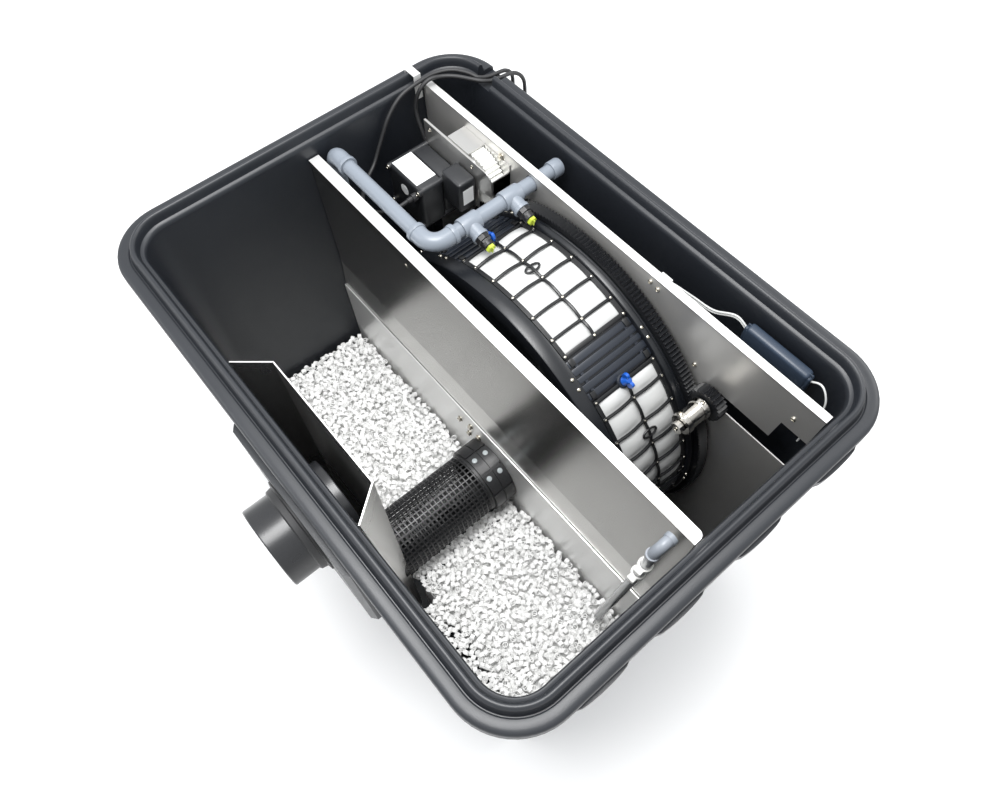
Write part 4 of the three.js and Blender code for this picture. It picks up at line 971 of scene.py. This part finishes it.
for k in range(6):
    for offset in (-5.3, -2.65, 0.0, 2.65, 5.3):
        wide = 0.0072 if offset else 0.0060
        add_block(bm, (-wide, 0.0905, 0.3885), (wide, 0.2535, 0.3945), 0.0015, 2,
                  drum_turn(30 + 60 * k + offset))
    for y in (0.1065, 0.2375):
        add_block(bm, (-0.038, y - 0.004, 0.3880), (0.038, y + 0.004, 0.3925), 0.001, 1,
                  drum_turn(30 + 60 * k))
fixed_to("drum", "drum_body", closed_piece("drum_strips", bm, strip_grey, 30))

panel_rows = (-22.3, -16.6, -8.4, 0.0, 8.4, 16.6, 22.3)
panel_lines = (0.0955, 0.172, 0.2485)
cloth_white = finish_of("cloth_white", (0.52, 0.525, 0.52), 0.85, tone=0.06, spread=0.08, patch=12.0,
                        grain=1600.0,
                        depth=0.00010)


def bay_rise(value, lines):
    """How far a value is into its bay: nothing on the lines, one halfway between two."""
    for a, b in zip(lines, lines[1:]):
        if a <= value <= b:
            return math.sin(math.pi * (value - a) / (b - a))
    return 0.0


for k in range(6):
    turned_to = 60 * k
    steps_round, steps_along = 48, 20
    points = []
    for i in range(steps_round + 1):
        degrees = panel_rows[0] + (panel_rows[-1] - panel_rows[0]) * i / steps_round
        for j in range(steps_along + 1):
            y = panel_lines[0] + (panel_lines[-1] - panel_lines[0]) * j / steps_along
            swell = (bay_rise(degrees, panel_rows) * bay_rise(y, panel_lines)) ** 0.6
            radius = 0.3885 + 0.0085 * swell + 0.0007 * noise.noise(Vector((degrees * 0.5, y * 60, k)))
            points.append(on_drum(degrees + turned_to, y, radius))
    wide = steps_along + 1
    cloth_mesh = bpy.data.meshes.new(f"cloth_{k + 1}")
    cloth_mesh.from_pydata([tuple(p) for p in points], [], [
        (a * wide + b, a * wide + b + 1, (a + 1) * wide + b + 1, (a + 1) * wide + b)
        for a in range(steps_round) for b in range(steps_along)])
    cloth_mesh.materials.append(cloth_white)
    cloth = bpy.data.objects.new(f"cloth_{k + 1}", cloth_mesh)
    bpy.context.scene.collection.objects.link(cloth)
    thick = cloth.modifiers.new("thick", "SOLIDIFY")
    thick.thickness = 0.0012
    thick.offset = -1
    made_plain(cloth)
    cloth.data.shade_smooth()
    fixed_to("drum", "screen", cloth, f"screen_panel_{k + 1}")

bm = bmesh.new()
for k in range(6):
    for degrees in panel_rows[1:-1]:
        for a, b in zip(panel_lines, panel_lines[1:]):
            run = [on_drum(60 * k + degrees, a + (b - a) * t / 8,
                           0.3935 + 0.0045 * math.sin(math.pi * t / 8)) for t in range(9)]
            add_run(bm, run, 0.0034, 8)
    for a, b in zip(panel_rows, panel_rows[1:]):
        run = [on_drum(60 * k + a + (b - a) * t / 6, panel_lines[1],
                       0.3935 + 0.0045 * math.sin(math.pi * t / 6)) for t in range(7)]
        add_run(bm, run, 0.0034, 8)
    for y in (panel_lines[0], panel_lines[2]):
        arc = [60 * k - 22.6 + 45.2 * t / 30 for t in range(31)]
        add_plate(bm, [on_drum(d, y - 0.0045, 0.3965) for d in arc] + [on_drum(d, y - 0.0045,
                0.3870) for d in reversed(arc)],
                  (0, 0.009, 0))
    for degrees in (-22.3, 22.3):
        add_block(bm, (-0.0045, 0.0910, 0.3868), (0.0045, 0.2530, 0.3965), 0.0015, 2,
                  drum_turn(60 * k + degrees))
    for degrees in panel_rows:
        for y in panel_lines:
            add_turned(bm, [(0, 0.0), (0.0056, 0.0), (0.0052, 0.0055), (0.0042, 0.0066), (0, 0.0066)],
                       on_drum(60 * k + degrees, y, 0.3915), on_drum(60 * k + degrees, 0, 1) - drum_centre,
                       14)
    loop = []
    for t in range(16):
        a = 2 * math.pi * t / 16
        loop.append(on_drum(60 * k - 4.2 + 1.15 * math.cos(a), panel_lines[1] + 0.017 * math.sin(a), 0.3990))
    add_run(bm, loop, 0.0024, 8, closed=True)
    for degrees in (-24.6, 24.6):
        for y in (0.101, 0.243):
            add_block(bm, (-0.008, y - 0.006, 0.3900), (0.008, y + 0.006, 0.3975), 0.0015, 2,
                      drum_turn(60 * k + degrees))
fixed_to("drum", "drum_body", closed_piece("panel_lattices", bm, lattice_black, 35))
dot_places, pair_places = [], []
for k in range(6):
    for degrees in panel_rows:
        for y in panel_lines:
            spot = on_drum(60 * k + degrees, y, 0.3979)
            dot_places.append((spot, on_drum(60 * k + degrees, 0, 1) - drum_centre))
    for degrees in (28.4, 31.6):
        for y in (0.0790, 0.2600):
            lift = 0.3998 if y < 0.1 else 0.4036
            pair_places.append((on_drum(60 * k + degrees, y, lift),
                                on_drum(60 * k + degrees, 0, 1) - drum_centre))
bm = bmesh.new()
add_turned(bm, [(0, 0.0), (0.0029, 0.0), (0.0026, 0.0012), (0.0015, 0.0019), (0, 0.0020)], (0, 0, 0),
           (0, 0, 1), 9)
lattice_dot = closed_piece("lattice_dot", bm, fastener_steel, 35)
fixed_to("drum", "polished_steel", set_out("lattice_screws", dot_places, lattice_dot, fastener_steel))
fixed_to("drum", "polished_steel", set_out("ring_screws", pair_places, dome_screw, fastener_steel, 0.8))

# ---- Wing latches ------------------------------------------------------------------------
# A blue two-lobed wing on each panel turns a quarter to hold or free it. It stands on a dark
# round boss of the panel's frame.
latch_blue = finish_of("latch_blue", (0.008, 0.085, 0.42), 0.30, tone=0.12, grain=900.0, depth=0.00003)
for k in range(6):
    degrees = 60 * k - 22.6
    root = drum_turn(degrees)
    spot = on_drum(degrees, 0.170, 0)
    seat = bmesh.new()
    out = on_drum(degrees, 0, 1) - drum_centre
    add_turned(seat, [(0, 0.0), (0.0150, 0.0), (0.0148, 0.0075), (0.0128, 0.0100), (0.0090, 0.0102),
                      (0, 0.0102)],
               on_drum(degrees, 0.170, 0.3900), out, 32)
    fixed_to("drum", "drum_body", closed_piece(f"latch_seat_{k + 1}", seat, strip_grey, 35))
    wing = bmesh.new()
    add_turned(wing, [(0, 0.0), (0.0095, 0.0), (0.0100, 0.0030), (0.0078, 0.0065), (0.0070, 0.0160),
                      (0.0050, 0.0185), (0, 0.0190)],
               on_drum(degrees, 0.170, 0.4003), out, 24)
    for way in (-1, 1):
        outline = []
        for t in range(20):
            a = 2 * math.pi * t / 20
            outline.append((0.0092 + 0.0074 * math.cos(a),
                            0.0132 + 0.0086 * math.sin(a) * (1 + 0.22 * math.cos(a))))
        corners = [root @ Vector((way * u, 0.1668, 0.4003 + v)) for u, v in outline]
        add_plate(wing, corners, (0, 0.0064, 0))
    fixed_to(f"latch_{k + 1}", "latch", closed_piece(f"latch_wing_{k + 1}", wing, latch_blue, 35),
             f"wing_latch_{k + 1}")

# ---- Gears, guide and axle ---------------------------------------------------------------
# The toothed ring on the drum's rear edge is black and carries the drive's white pinion and,
# on the other side, a black guide pinion on a polished sleeve with a collar.
gear_black = finish_of("gear_black", (0.0100, 0.0108, 0.0125), 0.30, tone=0.3, grain=700.0, depth=0.00004)
gear_white = finish_of("gear_white", (0.82, 0.82, 0.79), 0.40, tone=0.1, grain=700.0, depth=0.00004)
polished = finish_of("polished", (0.66, 0.64, 0.60), 0.16, metal=1.0, tone=0.1, depth=0.000005)
soft_seal = finish_of("soft_seal", (0.020, 0.020, 0.022), 0.5, depth=0.00004)
refinish(gear_black, "ring_gear", "guide_gear")
refinish(gear_white, "drive_gear", "axle_bush")
refinish(drum_black, "drum_end_disc")
refinish(polished, "drum_axle", "drive_shaft", "guide_axle")
refinish(soft_seal, "drum_seal", "motor_gland")
gx, gz = 0.358294, 0.713855
bm = bmesh.new()
add_turned(bm, [
    (0.0133, 0.0), (0.0225, 0.0), (0.0238, 0.0015), (0.0238, 0.0120), (0.0225, 0.0135), (0.0210, 0.0140),
    (0.0210, 0.0470), (0.0232, 0.0475), (0.0238, 0.0490), (0.0238, 0.0600), (0.0225, 0.0620),
    (0.0133, 0.0620),
], (gx, 0.2080, gz), (0, 1, 0), 56)
fixed_to("tank", "polished_steel", closed_piece("sleeve_turned", bm, polished, 30), "guide_sleeve")
cap_places = [((gx - 0.012, 0.2150, gz + 0.0205), (-0.5, 0, 0.87)), ((gx, 0.2620, gz + 0.0236), (0, 0, 1)),
              ((gx, 0.1960, gz), (0, -1, 0))]
fixed_to("tank", "polished_steel", set_out("sleeve_screws", cap_places, dome_screw, fastener_steel, 0.9))

# ---- Spray line --------------------------------------------------------------------------
# Grey solvent-welded pressure pipe climbs from the rinse pump, crosses to the drum and runs
# along it. Two black nozzle holders with yellow-green tips hang from tees.
pipe_grey = finish_of("pipe_grey", (0.19, 0.215, 0.25), 0.32, tone=0.10, spread=0.1, patch=6.0, grain=900.0,
                      depth=0.00003)
nozzle_black = finish_of("nozzle_black", (0.010, 0.010, 0.011), 0.36, tone=0.2)
nozzle_lime = finish_of("nozzle_lime", (0.38, 0.46, 0.035), 0.40, tone=0.1)


def bend(corner, before, after, radius, steps=8):
    """Points round a rounded corner between two directions."""
    c, a, b = Vector(corner), Vector(before).normalized(), Vector(after).normalized()
    start, end = c - a * radius, c + b * radius
    pivot = start + b * radius
    turns = [t * math.pi / 2 / steps for t in range(steps + 1)]
    return [pivot + (start - pivot) * math.cos(a) + (end - pivot) * math.sin(a) for a in turns]


riser_x, header_x, line_y, line_z = -0.529, -0.190, 0.044, 0.868
nozzle_places = (0.137, 0.245)
line = [Vector((riser_x, line_y, 0.728))] + bend((riser_x, line_y, line_z), (0, 0, 1), (1, 0, 0), 0.026)
line += bend((header_x, line_y, line_z), (1, 0, 0), (0, 1, 0), 0.034) + [Vector((header_x, 0.378, line_z))]
bm = bmesh.new()
add_run(bm, line, 0.0158, 28)
fixed_to("tank", "pressure_pipe", closed_piece("spray_line", bm, pipe_grey, 45), "riser_pipe", "cross_pipe")
bm = bmesh.new()
add_run(bm, [Vector((riser_x, line_y, 0.812))] + bend((riser_x, line_y, line_z), (0, 0, 1), (1, 0, 0), 0.026)
        + [Vector((-0.478, line_y, line_z))], 0.0192, 28)
add_run(bm, [Vector((-0.240, line_y, line_z))] + bend((header_x, line_y, line_z), (1, 0, 0), (0, 1, 0), 0.034)
        + [Vector((header_x, 0.094, line_z))], 0.0192, 28)
for centre_at, axis in (((riser_x, line_y, 0.809), (0, 0, 1)), ((-0.484, line_y, line_z), (1, 0, 0)),
                        ((-0.246, line_y, line_z), (1, 0, 0)), ((header_x, 0.090, line_z), (0, 1, 0))):
    add_turned(bm, [(0.0150, 0.0), (0.0206, 0.0), (0.0212, 0.0015), (0.0212, 0.0085), (0.0206, 0.0100),
                    (0.0150, 0.0100)],
               centre_at, axis, 36)
fixed_to("tank", "pressure_pipe", closed_piece("elbows", bm, pipe_grey, 45), "header_elbow")
bm = bmesh.new()
aim = (Vector((-0.131, 0, 0.8565)) - Vector((header_x, 0, line_z))).normalized()
for y in nozzle_places:
    add_turned(bm, [(0.0150, 0.0), (0.0198, 0.0), (0.0204, 0.0015), (0.0204, 0.0425), (0.0198, 0.0440),
                    (0.0150, 0.0440)],
               (header_x, y - 0.022, line_z), (0, 1, 0), 36)
    add_turned(bm, [(0, 0.0), (0.0165, 0.0), (0.0165, 0.0310), (0.0180, 0.0320), (0.0180, 0.0390),
                    (0, 0.0390)],
               (header_x, y, line_z), aim, 36)
add_turned(bm, [(0, 0.0), (0.0190, 0.0), (0.0195, 0.0015), (0.0195, 0.0220), (0.0175, 0.0260), (0, 0.0270)],
           (header_x, 0.3530, line_z), (0, 1, 0), 36)
fixed_to("tank", "pressure_pipe", closed_piece("tees", bm, pipe_grey, 45), "spray_header")
for number, y in enumerate(nozzle_places, 1):
    bm = bmesh.new()
    start = Vector((header_x, y, line_z)) + aim * 0.0385
    add_turned(bm, [(0, 0.0), (0.0150, 0.0), (0.0158, 0.0010), (0.0158, 0.0110), (0.0135, 0.0120),
                    (0.0120, 0.0170), (0, 0.0170)],
               start, aim, 8)
    add_turned(bm, [(0, 0.0), (0.0125, 0.0), (0.0125, 0.0080), (0.0110, 0.0095), (0, 0.0095)],
               start + aim * 0.0170, aim, 24)
    fixed_to("tank", "nozzle", closed_piece(f"holder_{number}", bm, nozzle_black, 30), f"nozzle_{number}")
    bm = bmesh.new()
    add_turned(bm, [(0, 0.0), (0.0105, 0.0), (0.0105, 0.0070), (0.0085, 0.0085), (0, 0.0085)],
               start + aim * 0.0255, aim, 6)
    add_block(bm, (-0.0010, -0.0080, 0.0065), (0.0010, 0.0080, 0.0125), 0.0006, 1,
              Matrix.Translation(start + aim * 0.0255) @ along(aim))
    fixed_to("tank", "nozzle", closed_piece(f"nozzle_tip_{number}", bm, nozzle_lime, 30))

# ---- Drive motor -------------------------------------------------------------------------
# A gear motor in a charcoal case stands on a stainless plate hung from the rear sheet. It
# carries a plain white plate and a round sticker, both blank, and stud rods at its corners.
motor_black = finish_of("motor_black", (0.013, 0.014, 0.016), 0.36, tone=0.25, grain=800.0, depth=0.00006,
                        dust=0.04)
plain_label = finish_of("plain_label", (0.82, 0.83, 0.83), 0.45, tone=0.05)
bm = bmesh.new()
add_block(bm, (-0.490, 0.143, 0.691), (-0.366, 0.206, 0.809), 0.010, 4)
add_block(bm, (-0.487, 0.205, 0.694), (-0.369, 0.249, 0.806), 0.008, 3)
add_block(bm, (-0.372, 0.203, 0.750), (-0.307, 0.249, 0.832), 0.007, 3)
for x in (-0.482, -0.374):
    for z in (0.700, 0.801):
        add_turned(bm, [(0, 0.0), (0.0075, 0.0), (0.0075, 0.108), (0.0065, 0.109), (0, 0.109)],
                   (x, 0.1405, z), (0, 1, 0), 18)
for i in range(7):
    add_block(bm, (-0.4915, 0.150 + 0.0075 * i, 0.705), (-0.4885, 0.1535 + 0.0075 * i, 0.795), 0.0008, 1)
fixed_to("tank", "motor_case", closed_piece("motor_case_moulded", bm, motor_black, 35), "motor_body")
bm = bmesh.new()
add_block(bm, (-0.478, 0.149, 0.8086), (-0.388, 0.201, 0.8096), 0.0003, 1)
add_turned(bm, [(0, 0.0), (0.0135, 0.0), (0.0135, 0.0006), (0, 0.0006)], (-0.430, 0.1432, 0.770),
           (0, -1, 0), 36)
add_block(bm, (-0.3075, 0.212, 0.770), (-0.3066, 0.240, 0.812), 0.0002, 1)
fixed_to("tank", "motor_case", closed_piece("blank_labels", bm, plain_label, 30))
stud_places = [((x, 0.1410, z), (0, -1, 0)) for x in (-0.482, -0.374) for z in (0.700, 0.801)]
stud_places += [((-0.320, 0.2515, 0.850), (0, -1, 0)), ((-0.466, 0.2515, 0.850), (0, -1, 0)),
                ((-0.320, 0.2515, 0.752), (0, -1, 0))]
fixed_to("tank", "polished_steel", set_out("motor_screws", stud_places, dome_screw, fastener_steel, 1.1))

# ---- Rinse pump, hose and control case ---------------------------------------------------
# A black submersible pump stands on the floor beside the drum and feeds the spray line by a
# grey hose. The float switch's flat case hangs behind the rear sheet on its two thin leads.
pump_black = finish_of("pump_black", (0.012, 0.0125, 0.014), 0.42, tone=0.25, grain=700.0, depth=0.00008)
case_blue = finish_of("case_blue", (0.030, 0.044, 0.068), 0.38, tone=0.2, grain=700.0, depth=0.00006)
hose_grey = finish_of("hose_grey", (0.26, 0.27, 0.28), 0.34, tone=0.12, coat=0.3, depth=0.00003)
refinish(hose_grey, "pump_hose")
bm = bmesh.new()
add_block(bm, (-0.480, 0.026, 0.012), (-0.380, 0.096, 0.070), 0.008, 3)
add_block(bm, (-0.472, 0.031, 0.066), (-0.388, 0.091, 0.158), 0.012, 4)
add_turned(bm, [(0, 0.0), (0.0150, 0.0), (0.0150, 0.010), (0.0125, 0.012), (0.0125, 0.026), (0, 0.026)],
           (-0.430, 0.061, 0.156), (0, 0, 1), 28)
for i in range(9):
    add_block(bm, (-0.4815, 0.0300 + 0.0070 * i, 0.018), (-0.4785, 0.0330 + 0.0070 * i, 0.060), 0.0006, 1)
    add_block(bm, (-0.3815, 0.0300 + 0.0070 * i, 0.018), (-0.3785, 0.0330 + 0.0070 * i, 0.060), 0.0006, 1)
fixed_to("tank", "pump_case", closed_piece("pump_moulded", bm, pump_black, 35), "rinse_pump")
bm = bmesh.new()
add_block(bm, (0.333, 0.3625, 0.8125), (0.475, 0.3855, 0.8715), 0.0075, 4)
for x in (0.3345, 0.4735):
    add_block(bm, (x - 0.0062, 0.3655, 0.8185), (x + 0.0062, 0.3825, 0.8655), 0.004, 3)
add_block(bm, (0.330, 0.3730, 0.8122), (0.478, 0.3750, 0.8718), 0.0008, 1)
fixed_to("tank", "control_case", closed_piece("float_case", bm, case_blue, 35), "control_case")
lead_white = finish_of("lead_white", (0.62, 0.63, 0.62), 0.4, tone=0.1)
bm = bmesh.new()
for shift in (0.0, 0.006):
    add_run(bm, smooth_route([
        (0.333, 0.374, 0.850 + shift), (0.305, 0.372, 0.862 + shift), (0.262, 0.360, 0.846 + shift),
        (0.222, 0.350, 0.852 + shift), (0.190, 0.334, 0.868 + shift), (0.170, 0.3265, 0.876 + shift * 0.5),
    ], 0.006), 0.0019, 8)
add_block(bm, (0.150, 0.3205, 0.862), (0.178, 0.3330, 0.884), 0.003, 2)
add_run(bm, smooth_route([
    (0.474, 0.374, 0.850), (0.500, 0.372, 0.868), (0.522, 0.364, 0.850), (0.530, 0.350, 0.800),
    (0.528, 0.335, 0.740),
], 0.006), 0.0019, 8)
fixed_to("tank", "control_case", closed_piece("sensor_leads", bm, lead_white, 35))

# ---- Air line ----------------------------------------------------------------------------
# A clear grey hose brings air down the corner to the bed. It is pushed onto a grey elbow that
# is held under the front sheet's flange, and tied with a white clamp.
fitting_grey = finish_of("fitting_grey", (0.22, 0.24, 0.27), 0.34, tone=0.1)
air_clear = finish_of("air_clear", (0.30, 0.31, 0.32), 0.22, tone=0.1, coat=0.5, depth=0.00002)
clamp_white = finish_of("clamp_white", (0.80, 0.80, 0.77), 0.42, tone=0.08)
down = smooth_route([
    (0.518, -0.040, 0.8475), (0.5165, -0.050, 0.836), (0.515, -0.055, 0.819), (0.514, -0.056, 0.778),
    (0.504, -0.058, 0.640), (0.492, -0.060, 0.480), (0.482, -0.062, 0.360), (0.478, -0.064, 0.284),
], 0.008)
bm = bmesh.new()
add_run(bm, down, 0.0098, 20)
fixed_to("tank", "air_hose", closed_piece("air_hose_laid", bm, air_clear, 50), "air_hose")
bm = bmesh.new()
add_run(bm, smooth_route([
    (0.518, -0.020, 0.846), (0.518, -0.040, 0.847), (0.5165, -0.050, 0.836), (0.515, -0.055, 0.820),
], 0.004), 0.0108, 20)
add_turned(bm, [(0, 0.0), (0.0125, 0.0), (0.0125, 0.009), (0.0108, 0.011), (0, 0.011)],
           (0.515, -0.055, 0.826), (0, 0, -1), 28)
add_turned(bm, [(0, 0.0), (0.0125, 0.0), (0.0125, 0.009), (0, 0.009)], (0.518, -0.018, 0.846), (0, -1, 0), 28)
fixed_to("tank", "air_fitting", closed_piece("air_elbow_moulded", bm, fitting_grey, 45), "air_elbow")
bm = bmesh.new()
for at in (0.760, 0.700):
    near = min(down, key=lambda p: abs(p.z - at))
    add_turned(bm, [(0.0100, 0.0), (0.0135, 0.0), (0.0138, 0.001), (0.0138, 0.010), (0.0135, 0.011),
                    (0.0100, 0.011)],
               near, (0.03, 0.0, 1), 28)
    add_block(bm, (near.x - 0.008, near.y - 0.022, near.z),
              (near.x + 0.008, near.y - 0.011, near.z + 0.011), 0.002, 2)
fixed_to("tank", "air_fitting", closed_piece("hose_clamps", bm, clamp_white, 35))

for pattern in (hex_bolt, dome_screw, lattice_dot, carrier):
    bpy.data.objects.remove(pattern)
